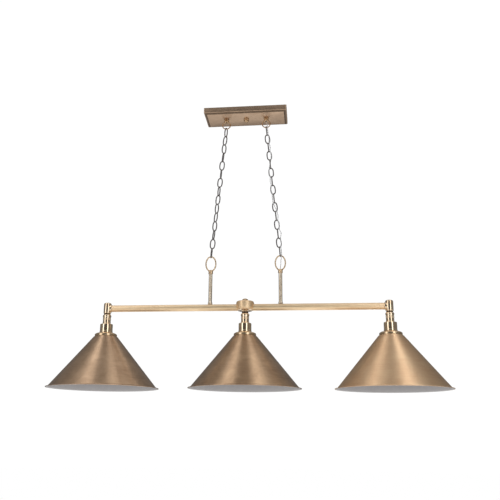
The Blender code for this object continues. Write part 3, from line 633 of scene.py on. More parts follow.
def put(piece, place, turn=None):
    """Sets a piece's origin down at a place, in metres."""
    matrix = Matrix.Translation(place)
    piece.matrix_world = matrix if turn is None else matrix @ turn
    return piece


def cut(base, tool, operation="DIFFERENCE"):
    """Cuts base with tool, or joins them, keeps the result as base's mesh and drops tool."""
    bpy.context.view_layer.update()
    boolean = base.modifiers.new("cut", "BOOLEAN")
    boolean.operation = operation
    boolean.object = tool
    bpy.context.view_layer.update()
    evaluated = base.evaluated_get(bpy.context.evaluated_depsgraph_get())
    mesh = bpy.data.meshes.new_from_object(evaluated)
    base.modifiers.clear()
    mesh.shade_smooth()
    mesh.set_sharp_from_angle(angle=math.radians(38))
    base.data = mesh
    bpy.data.objects.remove(tool)
    return base


def stand_in(piece, body, slot, *nodes):
    """Puts the piece on its body and hides the frame nodes it replaces. The slot is not used."""
    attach(piece, body)
    if nodes:
        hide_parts(*nodes)
    return piece


print("lathe ready")

# %% [markdown]
# ## The shades
#
# A shade is a disc of brass pushed over a cone-shaped former on a spinning lathe. The
# tool leaves rings that run round the cone. The rim is flared and folded back over
# itself, which stiffens it and hides the raw edge. A cone with a Solidify modifier would
# have a square edge, so the wall is drawn as one closed profile with its folded rim.

# %% Shades
SHEET = 0.8
CAP_HOLE_R = 14.3
FLARE = 6.2                # the rim stands out past the cone by this much
FLARE_DROP = 1.8
BEAD_R = 0.85

for light in LIGHTS:
    low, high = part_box("shade_" + light)
    rim_r = (high.x - low.x) / 2 / MM
    depth = (high.z - low.z) / MM
    top_r = middle_of("shade_cap_" + light)[1].x / MM + 1.6
    cone_r, cone_end = rim_r - FLARE, -depth + 1.1 + FLARE_DROP
    skin = [
        (CAP_HOLE_R, 0.0), (top_r, 0.0, 2.4), (cone_r, cone_end, 2.0),
        (rim_r - BEAD_R, cone_end - FLARE_DROP + 0.55, 0.3), (rim_r, cone_end - FLARE_DROP, 0.9),
        (rim_r - 0.5, cone_end - FLARE_DROP - 1.0, 0.6),
        (rim_r - 2.0, cone_end - FLARE_DROP - 0.75, 0.3),
        (cone_r - 0.4, cone_end - SHEET * 1.2, 1.6), (top_r - 0.5, -SHEET * 1.3, 1.6),
        (CAP_HOLE_R, -SHEET),
    ]
    place = Vector(((low.x + high.x) / 2, (low.y + high.y) / 2, high.z))
    shade = put(turned("shade_skin_" + light, skin, "shade_" + light, sides=160, steps=6), place)
    stand_in(shade, "lamp", "brushed_brass", "shade_" + light)
    paint = [
        (CAP_HOLE_R + 0.5, -SHEET - 0.02), (top_r - 0.9, -SHEET * 1.3 - 0.1, 1.4),
        (cone_r - 0.8, cone_end - SHEET * 1.2 - 0.05, 1.5),
        (rim_r - 2.4, cone_end - FLARE_DROP - 0.85),
        (rim_r - 2.7, cone_end - FLARE_DROP - 1.05), (cone_r - 1.2, cone_end - SHEET - 0.55, 1.5),
        (top_r - 1.3, -SHEET * 1.3 - 0.5, 1.2), (CAP_HOLE_R + 0.5, -SHEET - 0.35),
    ]
    lining = put(turned("shade_lining_" + light, paint, "lining", sides=160, steps=6), place)
    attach(lining, "lamp")
print("shade rim", round(rim_r, 1), "mm, depth", round(depth, 1), "mm")

# %% [markdown]
# ## Caps and lampholder covers
#
# A small domed cap holds each shade from above. Over it stands the lampholder cover, which
# hides the wiring: a bead, a slim neck with two fine rings, and a wider body. The steps
# are the maker's decoration, so each gets its own soft corner.

# %% Caps
CAP_WALL = 1.4

for light in LIGHTS:
    low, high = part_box("shade_cap_" + light)
    cap_r = (high.x - low.x) / 2 / MM
    depth = (high.z - low.z) / MM
    corners = [
        (CAP_HOLE_R, 0.0), (17.6, 0.0, 0.8), (18.2, -0.7, 0.5), (22.6, -1.3, 3.0),
        (26.6, -3.4, 1.6), (27.0, -4.2, 0.3), (cap_r, -4.5, 0.5), (cap_r, -depth, 0.9),
        (cap_r - CAP_WALL, -depth, 0.3), (cap_r - CAP_WALL, -5.2, 0.6),
        (24.0, -0.9 - CAP_WALL, 1.6), (CAP_HOLE_R, -CAP_WALL),
    ]
    place = Vector(((low.x + high.x) / 2, (low.y + high.y) / 2, high.z))
    cap = put(turned("shade_cap_turned_" + light, corners, "soft_polish", sides=96), place)
    stand_in(cap, "lamp", "polished_brass", "shade_cap_" + light)
print("caps", round(cap_r, 1), "mm in radius")

# %% Lampholder covers
STEM_HOLE_R, COVER_WALL = 5.1, 1.3
NECK_R, BEAD_OUT = 10.0, 11.0
SHOULDER = -24.2           # below the cover's top


def ring_on_neck(height, radius=NECK_R, swell=0.5, width=1.6):
    """A fine raised ring on a turned neck, as profile corners going down."""
    return [(radius, height, 0.2), (radius + swell, height - width * 0.3, 0.4),
            (radius + swell, height - width * 0.7, 0.4), (radius, height - width, 0.2)]


for light in LIGHTS:
    low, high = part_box("lampholder_cover_" + light)
    end = -(high.z - low.z) / MM
    body_r = (high.x - low.x) / 2 / MM - 0.5
    corners = [
        (STEM_HOLE_R, 0.0), (8.9, 0.0, 0.7), (BEAD_OUT - 0.5, -1.6, 1.2), (BEAD_OUT, -4.0, 1.8),
        (BEAD_OUT - 0.6, -6.4, 1.2), (NECK_R, -7.6, 0.5), *ring_on_neck(-9.6),
        *ring_on_neck(-12.6), *ring_on_neck(-20.4),
        (NECK_R + 0.2, SHOULDER + 0.9, 0.6), (NECK_R + 1.3, SHOULDER, 0.5),
        (body_r - 0.2, SHOULDER - 0.5, 1.3), (body_r, SHOULDER - 3.0, 0.4),
        (body_r, end + 3.4, 0.5), (body_r + 0.5, end + 2.8, 0.4), (body_r + 0.5, end, 0.5),
        (body_r - COVER_WALL, end), (body_r - COVER_WALL, SHOULDER - 2.2, 0.8),
        (NECK_R - 1.4, SHOULDER - 2.0, 0.6), (NECK_R - 1.4, -1.6, 0.6), (STEM_HOLE_R, -1.4),
    ]
    place = Vector(((low.x + high.x) / 2, (low.y + high.y) / 2, high.z))
    cover = put(turned("lampholder_turned_" + light, corners, "polished", sides=80), place)
    stand_in(cover, "lamp", "polished_brass", "lampholder_cover_" + light)
print("lampholder cover", round(-end, 1), "mm tall")

# %% [markdown]
# ## The sockets inside the shades
#
# From below, each shade shows a porcelain socket. A threaded ring on it clamps the shade
# against the cap, and a brass screw shell takes the bulb, with a spring contact at the
# bottom. A screw thread is a helix, but its ridges are so fine that turned rings look the
# same and make a cleaner mesh.

# %% Sockets
SHELL_WALL = 0.5
THREAD_PITCH = 3.2


def thread_corners(radius, top, bottom, pitch, depth):
    """Rounded thread ridges as profile corners, going down."""
    corners, height = [], top
    while height - pitch > bottom:
        corners.append((radius, height, pitch * 0.3))
        corners.append((radius - depth, height - pitch / 2, pitch * 0.3))
        height -= pitch
    return corners


for light in LIGHTS:
    low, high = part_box("lamp_socket_" + light)
    end = -(high.z - low.z) / MM
    flange_r = (high.x - low.x) / 2 / MM
    place = Vector(((low.x + high.x) / 2, (low.y + high.y) / 2, high.z))
    barrel = [
        (11.5, 0.0), (13.6, 0.0, 0.5), (13.6, -29.0, 0.4), (18.6, -29.2, 0.6),
        (19.0, end + 2.0, 1.6), (17.4, end, 1.0), (14.6, end, 0.8), (14.6, -36.0, 0.6),
        (4.0, -34.5, 0.4), (4.0, -30.0, 0.3), (11.5, -29.0),
    ]
    socket = put(turned("socket_body_" + light, barrel, "porcelain", sides=72), place)
    stand_in(socket, "lamp", "white_insulator", "lamp_socket_" + light)
    grip = [(13.9, -24.1), (flange_r - 0.6, -24.1, 0.5), (flange_r, -24.8, 0.5),
            (flange_r, -28.0, 0.6), (19.4, -28.9, 0.4), (13.9, -28.9)]
    ring = put(turned("shade_ring_" + light, grip, "porcelain", sides=72), place)
    stand_in(ring, "lamp", "white_insulator")
    shell_out = thread_corners(14.3, -36.4, end + 2.0, THREAD_PITCH, 0.9)
    shell_in = [(radius - SHELL_WALL, height, soft) for radius, height, soft in shell_out[::-1]]
    shell = put(turned("screw_shell_" + light, shell_out + shell_in, "satin_round", sides=72,
                       steps=3), place)
    stand_in(shell, "lamp", "satin_brass")
    tongue = [(0.0, -36.6), (3.6, -36.4, 0.6), (3.4, -34.6, 0.5), (0.0, -34.4)]
    contact = put(turned("contact_" + light, tongue, "polished", closed=False, sides=32), place)
    stand_in(contact, "lamp", "polished_brass")
print("socket", round(-end, 1), "mm long, thread pitch", THREAD_PITCH)

# %% [markdown]
# ## Bar, hub and knuckles
#
# The bar is two tubes that meet in a round hub over the middle lamp. The outer end of each
# tube goes into a polished knuckle, which turns the wires down to its lampholder. The
# tubes are turned along their own axis and then laid down, so that the brushed highlight
# still runs round them. Under the hub and the knuckles a short groove lies in shade, so
# those faces get a near-black finish of their own, as painted shade.

# %% Arms
ARM_WALL = 1.5
INTO_HUB, SHORT_OF_LIGHT = 3.6, 12.0
ALONG_X = Matrix.Rotation(math.pi / 2, 4, "Y")
_, hub_half = middle_of("hub_body")
HUB_R = hub_half.x / MM

for side, sign in zip(SIDES, (-1, 1)):
    low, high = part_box("arm_" + side)
    tube_r = (high.z - low.z) / 2 / MM
    start = HUB_R - INTO_HUB
    knuckle_middle, _ = middle_of("lampholder_cover_" + side)
    reach = abs(knuckle_middle.x) / MM - SHORT_OF_LIGHT
    corners = [
        (tube_r - ARM_WALL, start), (tube_r, start), (tube_r, reach, 0.5),
        (tube_r - ARM_WALL, reach, 0.3),
    ]
    turn = Matrix.Rotation(sign * math.pi / 2, 4, "Y")
    arm = put(turned("arm_tube_" + side, corners, "satin_long", sides=72),
              Vector((0, 0, BAR_Z)), turn)
    stand_in(arm, "lamp", "satin_brass", "arm_" + side)
print("arm tube", round(2 * tube_r, 1), "mm across and", round(reach - start), "mm long")

# %% Hub
low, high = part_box("hub_body")
body_top, body_low = (high.z - BAR_Z) / MM, (low.z - BAR_Z) / MM
HUB_WALL, HUB_FOOT = 2.2, 2.8      # the foot is drawn in by HUB_FOOT
BAR_HOLE_R = 6.4
corners = [
    (2.8, body_top), (HUB_R - 2.6, body_top, 1.6), (HUB_R, body_top - 2.8, 1.8),
    (HUB_R, body_low + 5.0, 2.2), (HUB_R - HUB_FOOT, body_low, 0.8),
    (HUB_R - HUB_FOOT - HUB_WALL, body_low), (HUB_R - HUB_FOOT - HUB_WALL, body_low + 4.0, 0.8),
    (HUB_R - HUB_WALL, body_low + 6.0, 1.0), (HUB_R - HUB_WALL, body_top - HUB_WALL, 1.0),
    (2.8, body_top - HUB_WALL),
]
hub = put(turned("hub_drum", corners, "satin_round", sides=96), Vector((0, 0, BAR_Z)))
past_hub = HUB_R + 5
bore = [(0, -past_hub), (BAR_HOLE_R, -past_hub), (BAR_HOLE_R, past_hub), (0, past_hub)]
drill = put(turned("drill", bore, "satin_round", closed=False, sides=48),
            Vector((0, 0, BAR_Z)), ALONG_X)
cut(hub, drill)
stand_in(hub, "lamp", "satin_brass", "hub_body")

NECK_OUT, STEM_R, STEM_BORE_R = 8.2, 4.8, 3.2
low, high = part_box("hub_cover")
lid_top, stem_end = (high.z - BAR_Z) / MM, (low.z - BAR_Z) / MM
lid_low = lid_top - 2.3
neck_end = stem_end + 6.5
corners = [
    (STEM_BORE_R, lid_top), (HUB_R - HUB_FOOT, lid_top, 0.3),
    (HUB_R - HUB_FOOT - 2.0, lid_low, 0.9), (NECK_OUT + 1.6, lid_low, 0.8),
    (NECK_OUT, lid_low - 1.4, 0.9), (NECK_OUT, neck_end, 0.5),
    (STEM_R, neck_end), (STEM_R, stem_end, 0.4), (STEM_BORE_R, stem_end),
]
lid = put(turned("hub_lid", corners, "polished", sides=96), Vector((0, 0, BAR_Z)))
# The neck under the hub gets the near-black painted shade.
second_finish(lid, "painted_groove_shade", stem_end, lid_low - 1.0, NECK_OUT + 0.2)
stand_in(lid, "lamp", "satin_brass", "hub_cover")

low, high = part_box("hub_finial")
top, under = (high.z - BAR_Z) / MM, body_top + 0.3
finial_r = (high.x - low.x) / 2 / MM
corners = [
    (0.0, top), (3.8, top - 0.2, 1.4), (6.4, top - 1.4, 1.2), (finial_r, top - 3.4, 1.0),
    (finial_r, under + 0.7, 0.5), (finial_r - 0.6, under, 0.3), (2.6, under),
    (2.6, under - 6.0, 0.3), (0.0, under - 6.0),
]
finial = put(turned("hub_finial_turned", corners, "aged", closed=False, sides=64),
             Vector((0, 0, BAR_Z)))
stand_in(finial, "lamp", "polished_brass", "hub_finial")
print("hub", round(2 * HUB_R, 1), "mm across")

# %% Knuckles
BOSS_R, BOSS_REACH, STEM_REACH = 9.6, 11.7, 9.5

for side, sign in zip(SIDES, (-1, 1)):
    low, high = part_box("knuckle_" + side)
    holder_middle, _ = middle_of("lampholder_cover_" + side)
    axis_x = holder_middle.x
    radius = abs((high.x if side == "right" else low.x) - axis_x) / MM
    top, foot = (high.z - BAR_Z) / MM, (low.z - BAR_Z) / MM + STEM_REACH
    corners = [
        (0.0, top), (4.2, top - 0.1, 2.0), (8.4, top - 1.4, 1.8), (radius, top - 3.6, 1.0),
        (radius, top - 7.0, 0.3), (radius - 0.5, top - 7.3, 0.3), (radius, top - 7.6, 0.3),
        (radius, foot + 2.6, 0.3), (radius - 0.5, foot + 2.3, 0.3), (radius, foot + 2.0, 0.3),
        (radius, foot, 0.8), (NECK_OUT, foot - 0.4, 0.4), (NECK_OUT, foot - 3.0, 0.4),
        (STEM_R, foot - 3.0), (STEM_R, foot - STEM_REACH, 0.4), (STEM_BORE_R, foot - STEM_REACH),
        (STEM_BORE_R, foot + 1.5), (radius - 2.6, foot + 2.5, 0.8), (radius - 2.6, top - 5.0, 1.5),
        (0.0, top - 4.0),
    ]
    knuckle = put(turned("knuckle_turned_" + side, corners, "polished", closed=False, sides=80),
                  Vector((axis_x, 0, BAR_Z)))
    # The stem under the knuckle gets the near-black painted shade.
    second_finish(knuckle, "painted_groove_shade", foot - STEM_REACH, foot - 0.3, NECK_OUT + 0.2)
    boss_corners = [
        (6.4, radius - 3.2), (BOSS_R - 2.0, radius - 3.2), (BOSS_R, radius - 2.4, 0.4),
        (BOSS_R, BOSS_REACH, 0.8), (6.4, BOSS_REACH, 0.3),
    ]
    inward = Matrix.Rotation(-sign * math.pi / 2, 4, "Y")
    at = Vector((axis_x, 0, BAR_Z))
    boss = put(turned("boss", boss_corners, "polished", sides=80), at, inward)
    cut(knuckle, boss, "UNION")
    hole = put(turned("drill", [(0, 2.0), (6.3, 2.0), (6.3, 14.0), (0, 14.0)], "polished",
                      closed=False, sides=48), at, inward)
    cut(knuckle, hole)
    stand_in(knuckle, "lamp", "polished_brass", "knuckle_" + side)
    nipple = [(4.5, radius - 5.0), (6.0, radius - 5.0, 0.3), (6.0, BOSS_REACH + 1.5),
              (4.5, BOSS_REACH + 1.5)]
    thread = put(turned("arm_nipple_" + side, nipple, "satin_round", sides=48), at, inward)
    stand_in(thread, "lamp", "satin_brass")
print("knuckle radius", round(radius, 2), "mm")

# %% [markdown]
# ## Hollow rods, and loops of bent wire
#
# Each chain ends at a wire loop. The loop is an open ellipse whose two ends are brazed
# into a small turned collar. Bending a curve object would do, but its ring of vertices
# turns freely about the wire. A swept ring built from a fixed side direction stays even,
# and it can also close on itself for the chain links.


# %% Sweeping wire
def swept(bm, points, radius, sides=16, cyclic=False, aside=Vector((0, 1, 0))):
    """Adds a round wire through the points, in millimetres, with domed ends if it is open."""
    count = len(points)
    rings = []
    for index, point in enumerate(points):
        if cyclic:
            along = points[(index + 1) % count] - points[index - 1]
        else:
            along = points[min(index + 1, count - 1)] - points[max(index - 1, 0)]
        along.normalize()
        across = (aside - along * aside.dot(along)).normalized()
        upward = along.cross(across)
        ring = []
        for side in range(sides):
            angle = 2 * math.pi * side / sides
            offset = across * math.cos(angle) + upward * math.sin(angle)
            ring.append(bm.verts.new(point + offset * radius))
        rings.append(ring)
    pairs = list(zip(rings, rings[1:]))
    if cyclic:
        pairs.append((rings[-1], rings[0]))
    for ring, following in pairs:
        for side in range(sides):
            bm.faces.new((ring[side - 1], ring[side], following[side], following[side - 1]))
    if not cyclic:
        for ring, middle, beyond in ((rings[0], points[0], points[0] - points[1]),
                                     (rings[-1], points[-1], points[-1] - points[-2])):
            tip = bm.verts.new(middle + beyond.normalized() * radius * 0.3)
            for side in range(sides):
                bm.faces.new((ring[side - 1], ring[side], tip))


def loop_arc(half_width, half_height, centre_z, leg_x, sign, steps=56):
    """Points of an upright ellipse in XZ, open where it is leg_x from its own axis."""
    gap = math.asin(leg_x / half_width)
    points = []
    for step in range(steps + 1):
        angle = gap + (2 * math.pi - 2 * gap) * step / steps
        points.append(Vector((half_width * math.sin(angle), 0.0,
                              centre_z + sign * half_height * math.cos(angle))))
    return points


def wire_loop(name, collar, arc, radius, place, finish):
    """A turned collar with a wire loop brazed into it, as one piece."""
    piece = turned(name, collar, finish, sides=64)
    bm = bmesh.new()
    swept(bm, arc, radius, sides=18)
    cut(piece, make_object("wire", bm, "gilt_wire"), "UNION")
    return put(piece, place)


print("wire sweep ready")

# %% Rods and their loops
ROD_WALL_R, SPIGOT_R, ROD_BORE_R = 4.7, 3.3, 2.3
WIRE_R, LEG_X = 1.75, 4.4
COLLAR_TALL = 9.7

for side in SIDES:
    low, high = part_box("rod_loop_" + side)
    axis = (low.x + high.x) / 2
    foot, top = (low.z - BAR_Z) / MM, (high.z - BAR_Z) / MM
    half_width = (high.x - low.x) / 2 / MM - WIRE_R
    brow = foot + COLLAR_TALL
    collar = [
        (ROD_BORE_R, brow, 0.4), (4.6, brow, 0.6), (6.1, brow - 1.6, 0.8), (6.2, brow - 3.4, 0.5),
        (5.5, brow - 4.4, 0.4), (5.5, brow - 5.2, 0.4), (6.2, foot + 2.2, 0.6),
        (6.2, foot + 0.9, 0.5), (5.6, foot, 0.4), (3.7, foot), (3.7, foot + 5.3),
        (ROD_BORE_R, foot + 5.3),
    ]
    wire_top = top - WIRE_R
    rise = math.sqrt(1 - (LEG_X / half_width) ** 2)
    half_height = (wire_top - brow + 1.4) / (1 + rise)
    arc = loop_arc(half_width, half_height, wire_top - half_height, LEG_X, -1)
    piece = wire_loop("rod_loop_bent_" + side, collar, arc, WIRE_R, Vector((axis, 0, BAR_Z)),
                      "soft_polish")
    stand_in(piece, "lamp", "polished_brass", "rod_loop_" + side)
    _, rod_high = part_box("rod_" + side)
    seat = tube_r + 0.3
    tip = (rod_high.z - BAR_Z) / MM
    corners = [
        (ROD_BORE_R, tip), (SPIGOT_R, tip, 0.3), (SPIGOT_R, foot - 0.3),
        (ROD_WALL_R, foot - 0.3, 0.3), (ROD_WALL_R, seat + 5.4, 0.3), (5.2, seat + 4.9, 0.4),
        (5.8, seat + 3.6, 0.6),
        (5.6, seat + 1.4, 0.6), (5.9, seat + 0.2, 0.4), (SPIGOT_R, seat + 0.2),
        (SPIGOT_R, seat - 4.0, 0.3), (ROD_BORE_R, seat - 4.0),
    ]
    rod = put(turned("rod_turned_" + side, corners, "pale_rod", sides=56),
              Vector((axis, 0, BAR_Z)))
    stand_in(rod, "lamp", "satin_brass", "rod_" + side)
print("rod loops", round(2 * half_width, 1), "mm wide on rods", round(2 * ROD_WALL_R, 1), "mm")

# %% [markdown]
# ## The chains
#
# A link of decorative chain is a piece of wire bent into an oval, with its two ends left
# butted together and not welded. The fine slit in one side is what tells it from a cast
# ring. Each link is placed from the two ends of its chain and turned by its own angle,
# because a hanging chain never sits in perfect right angles. The links go from the canopy
# down, and the first and last belong to bodies of their own.

# %% Chain links
LINK_WIRE_R, LINK_HALF_WIDTH, LINK_GAP = 1.6, 5.9, 0.4
LINK_COUNT = 15
SLIT = 0.25
LINK_FULLNESS = 0.84         # 1 is an ellipse, less is squarer
TWISTS = {
    "left": (66, -32, 42, -66, 8, 90, 0, 74, -22, 56, -42, 44, -60, 14, 90),
    "right": (90, 0) * 7 + (90,),
}
LOOP_WIRE_R = 1.4


def chain_line(side):
    """First contact, direction down the chain and length from contact to contact, in mm."""
    low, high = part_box("canopy_loop_" + side)
    upper = Vector(((low.x + high.x) / 2 / MM, 0, low.z / MM + LOOP_WIRE_R))
    low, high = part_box("rod_loop_" + side)
    lower = Vector(((low.x + high.x) / 2 / MM, 0, high.z / MM - WIRE_R))
    down = (lower - upper).normalized()
    start = upper - down * (LOOP_WIRE_R + LINK_GAP / 2)
    reach = (lower - upper).length + LOOP_WIRE_R + WIRE_R + LINK_GAP
    return start, down, reach / LINK_COUNT


def link_path(half_height, steps=48):
    """A long oval, slightly fuller than an ellipse, that starts and ends at the slit."""
    points = []
    slit = SLIT / 2 / half_height
    for step in range(steps + 1):
        angle = slit + (2 * math.pi - 2 * slit) * step / steps
        across, along = math.cos(angle), math.sin(angle)
        points.append(Vector((
            math.copysign(abs(across) ** LINK_FULLNESS, across) * LINK_HALF_WIDTH, 0,
            math.copysign(abs(along) ** LINK_FULLNESS, along) * half_height)))
    return points


def link_body(side, index):
    if index == 0:
        return side + "_top_link"
    return side + ("_bottom_link" if index == LINK_COUNT - 1 else "_chain")


for side in SIDES:
    start, down, step = chain_line(side)
    half_length = step / 2 + LINK_WIRE_R + LINK_GAP / 2
    lean = Vector((0, 0, -1)).rotation_difference(down).to_matrix().to_4x4()
    bm = bmesh.new()
    swept(bm, link_path(half_length - LINK_WIRE_R), LINK_WIRE_R, sides=14)
    pattern = make_object("link_pattern", bm, "bronze", 60)
    for index, twist in enumerate(TWISTS[side]):
        name = f"{side}_chain_link_{index + 1:02d}"
        link = bpy.data.objects.new(name.replace("link", "wire_link"), pattern.data.copy())
        bpy.context.scene.collection.objects.link(link)
        centre = (start + down * step * (index + 0.5)) * MM
        put(link, centre, lean @ Matrix.Rotation(math.radians(twist), 4, "Z"))
        stand_in(link, link_body(side, index), "dark_bronze", name)
    bpy.data.objects.remove(pattern)
print("links", LINK_COUNT, "a side,", round(2 * half_length, 1), "mm long")

# %% [markdown]
# ## The flex in the chain
#
# A thin two-core flex carries the current. It is wound in and out of the right chain and
# goes down the rod. The lamp holds it all the way, so its route is a list of points along
# the chain, joined by a smooth curve. Two cores twist round that curve. The flex crosses
# four joints, and a piece can bend across only one, so it is made in four lengths whose
# ends meet.

# %% The route of the flex
FLEX_R, CORE_R = 1.25, 0.64
TWIST_PITCH, FLEX_STEP = 13.0, 1.1
FLEX_WEAVE = (
    (3.4, -3.4), (3.5, -3.4), (3.4, -3.4), (4.2, -3.5), (3.6, -3.4), (5.0, -2.4),
    (3.7, -3.4), (5.0, -3.6), (3.4, -3.4), (0.0, -1.6), (-3.4, -3.4), (-5.0, -3.6),
    (-3.7, -3.4), (-4.8, -2.4), (-3.5, -3.4), (-4.8, -3.6), (-3.5, -3.4), (-4.2, -2.6),
    (-3.5, -3.4), (0.0, -3.2), (3.5, -3.4), (5.6, -1.8), (3.9, -3.4), (5.4, -3.7),
    (5.0, -3.4), (8.6, -1.6), (6.0, -3.4), (5.8, -3.9), (4.0, -3.6), (4.4, -2.8),
    (3.6, -3.7),
)
start, down, step = chain_line("right")
sideways = Vector((-down.z, 0.0, down.x))
hook, rod_axis = (middle_of(name)[0].x / MM for name in ("canopy_loop_right", "rod_right"))
collar_end = -25.2
bar_z, rod_top = BAR_Z / MM, foot + BAR_Z / MM
route = [Vector((hook, 0, -6.0)), Vector((hook, 0, collar_end + 2)),
         Vector((hook + 1.5, -1.6, collar_end - 6))]
for index, (out, depth) in enumerate(FLEX_WEAVE):
    route.append(start + down * step * index / 2 + sideways * out + Vector((0, depth, 0)))
route += [
    Vector((rod_axis + 2.0, -2.0, rod_top + 33.7)), Vector((rod_axis + 0.9, -0.6, rod_top + 19.7)),
    Vector((rod_axis, 0, rod_top + 8.7)), Vector((rod_axis, 0, rod_top - 10.0)),
    Vector((rod_axis, 0, bar_z + 3.0)),
]
print("flex route points", len(route))


# %% Smooth curve through the route
def smooth_through(points, spacing):
    """Evenly spaced points on a Catmull-Rom curve through the given points."""
    ends = [points[0] * 2 - points[1], *points, points[-1] * 2 - points[-2]]
    fine = []
    for a, b, c, d in zip(ends, ends[1:], ends[2:], ends[3:]):
        for part in range(16):
            t = part / 16
            fine.append(0.5 * (2 * b + (c - a) * t + (2 * a - 5 * b + 4 * c - d) * t * t
                               + (3 * b - a - 3 * c + d) * t ** 3))
    fine.append(points[-1])
    even, walked, target = [fine[0]], 0.0, spacing
    for a, b in zip(fine, fine[1:]):
        length = (b - a).length
        while target <= walked + length:
            even.append(a.lerp(b, (target - walked) / length))
            target += spacing
        walked += length
    return even


centre_line = smooth_through(route, FLEX_STEP)
flex_length = sum((b - a).length for a, b in zip(centre_line, centre_line[1:]))
print("flex length", round(flex_length), "mm")

# %% Four lengths of flex
joints = {joint["name"]: Vector(joint["pos_m"]) / MM for joint in frame["joints"]}
BLENDS = (
    ("top", "canopy", "right_top_link", "front_back_swing", 9.0),
    ("upper", "right_top_link", "right_chain", "side_sway", 7.0),
    ("lower", "right_chain", "right_bottom_link", "lamp_level", 7.0),
    ("bottom", "right_bottom_link", "lamp", "lamp_tilt", 9.0),
)
heights = [joints[joint].z for _, _, _, joint, _ in BLENDS]
cuts = [centre_line[0].z + 1, *((a + b) / 2 for a, b in zip(heights, heights[1:])),
        centre_line[-1].z - 1]


def core_path(side_of_twist):
    """A core's centre line: a helix round the flex's own line."""
    path = []
    for index, point in enumerate(centre_line):
        before = centre_line[max(index - 1, 0)]
        after = centre_line[min(index + 1, len(centre_line) - 1)]
        along = (after - before).normalized()
        across = (Vector((0, 1, 0)) - along * along.y).normalized()
        turn = 2 * math.pi * index * FLEX_STEP / TWIST_PITCH + side_of_twist * math.pi
        offset = across * math.cos(turn) + along.cross(across) * math.sin(turn)
        path.append(point + offset * (FLEX_R - CORE_R))
    return path


cores = [core_path(0), core_path(1)]
for (name, upper_body, lower_body, joint, reach), top, bottom in zip(BLENDS, cuts, cuts[1:]):
    bm = bmesh.new()
    inside = [i for i, point in enumerate(centre_line) if bottom <= point.z <= top]
    first, last = max(inside[0] - 1, 0), inside[-1]
    for path in cores:
        swept(bm, path[first:last + 1], CORE_R, sides=10)
    length = make_object("supply_flex_" + name, bm, "flex", 70)
    if name == "top":
        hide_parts("supply_flex")
    height = joints[joint].z
    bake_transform(length)
print("flex lengths", len(BLENDS))

# %% [markdown]
# ## The canopy
#
# The canopy is pressed from one sheet: a side wall, a narrow ledge, and a panel that
# stands a little lower. A press leaves rounded folds, so the outline is drawn as a stack
# of rounded rectangles, and every fold has several of them. The holes for the loops and
# the stud are cut afterwards.


# %% Canopy cover
def rounded_rectangle(half_x, half_y, corner, steps=8):
    points = []
    for quarter, (sx, sy) in enumerate(((1, 1), (-1, 1), (-1, -1), (1, -1))):
        for step in range(steps + 1):
            angle = math.pi / 2 * (quarter + step / steps)
            points.append((sx * (half_x - corner) + corner * math.cos(angle),
                           sy * (half_y - corner) + corner * math.sin(angle)))
    return points


low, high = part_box("canopy_cover")
half_x, half_y = (high.x - low.x) / 2 / MM, (high.y - low.y) / 2 / MM
pan = low.z / MM
ledge, border, sheet = pan + 2.5, 5.5, 1.3
section = softened([
    (0.0, 0.0), (0.0, ledge, 1.3), (border, ledge, 0.5), (border + 1.0, pan + 0.3, 0.5),
    (border + 2.2, pan), (border + 2.2, pan + sheet), (border + 0.6, ledge + sheet, 0.5),
    (sheet, ledge + sheet, 0.8), (sheet, 0.0),
], False, 5)
bm = bmesh.new()
rings = []
for inset, height in section:
    outline = rounded_rectangle(half_x - inset, half_y - inset, max(2.2 - 0.25 * inset, 0.6))
    rings.append([bm.verts.new((x, y, height)) for x, y in outline])
panel = next(i for i, point in enumerate(section) if abs(point.x - border - 2.2) < 1e-4)
for index, (ring, following) in enumerate(zip(rings, rings[1:] + rings[:1])):
    if index == panel:
        continue
    for a in range(len(ring)):
        bm.faces.new((ring[a - 1], ring[a], following[a], following[a - 1]))
bm.faces.new(rings[panel])
bm.faces.new(rings[panel + 1])
canopy = make_object("canopy_pressing", bm, "canopy", 30)
for x, radius in ((0.0, 3.3), (-hook, 5.0), (hook, 5.0)):
    drill = turned("drill", [(0, pan - 3), (radius, pan - 3), (radius, pan + 5), (0, pan + 5)],
                   "canopy", closed=False, sides=40)
    cut(canopy, put(drill, Vector((x * MM, 0, 0))))
stand_in(canopy, "canopy", "brushed_brass", "canopy_cover")
print("canopy", round(2 * half_x), "x", round(2 * half_y), "mm")

# %% Canopy loops
CABLE_R, COLLAR_LEG_X = 2.3, 3.9
for side in SIDES:
    low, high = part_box("canopy_loop_" + side)
    axis = (low.x + high.x) / 2
    half_width = (high.x - low.x) / 2 / MM - LOOP_WIRE_R
    seat, top = pan - 0.3, high.z / MM
    collar = [
        (CABLE_R, top), (4.4, top, 0.3), (4.4, seat), (7.3, seat, 0.3), (7.3, seat - 1.5, 0.5),
        (5.0, seat - 2.3, 0.5), (5.6, seat - 3.4, 0.6), (6.8, seat - 4.8, 1.0),
        (6.4, seat - 6.6, 0.8), (4.9, collar_end, 0.6), (CABLE_R, collar_end, 0.4),
    ]
    wire_low = low.z / MM + LOOP_WIRE_R
    rise = math.sqrt(1 - (COLLAR_LEG_X / half_width) ** 2)
    half_height = (collar_end - wire_low + 1.4) / (1 + rise)
    arc = loop_arc(half_width, half_height, wire_low + half_height, COLLAR_LEG_X, 1)
    piece = wire_loop("canopy_loop_bent_" + side, collar, arc, LOOP_WIRE_R, Vector((axis, 0, 0)),
                      "aged")
    stand_in(piece, "canopy", "polished_brass", "canopy_loop_" + side)
print("canopy loops", round(2 * half_width, 1), "mm wide")


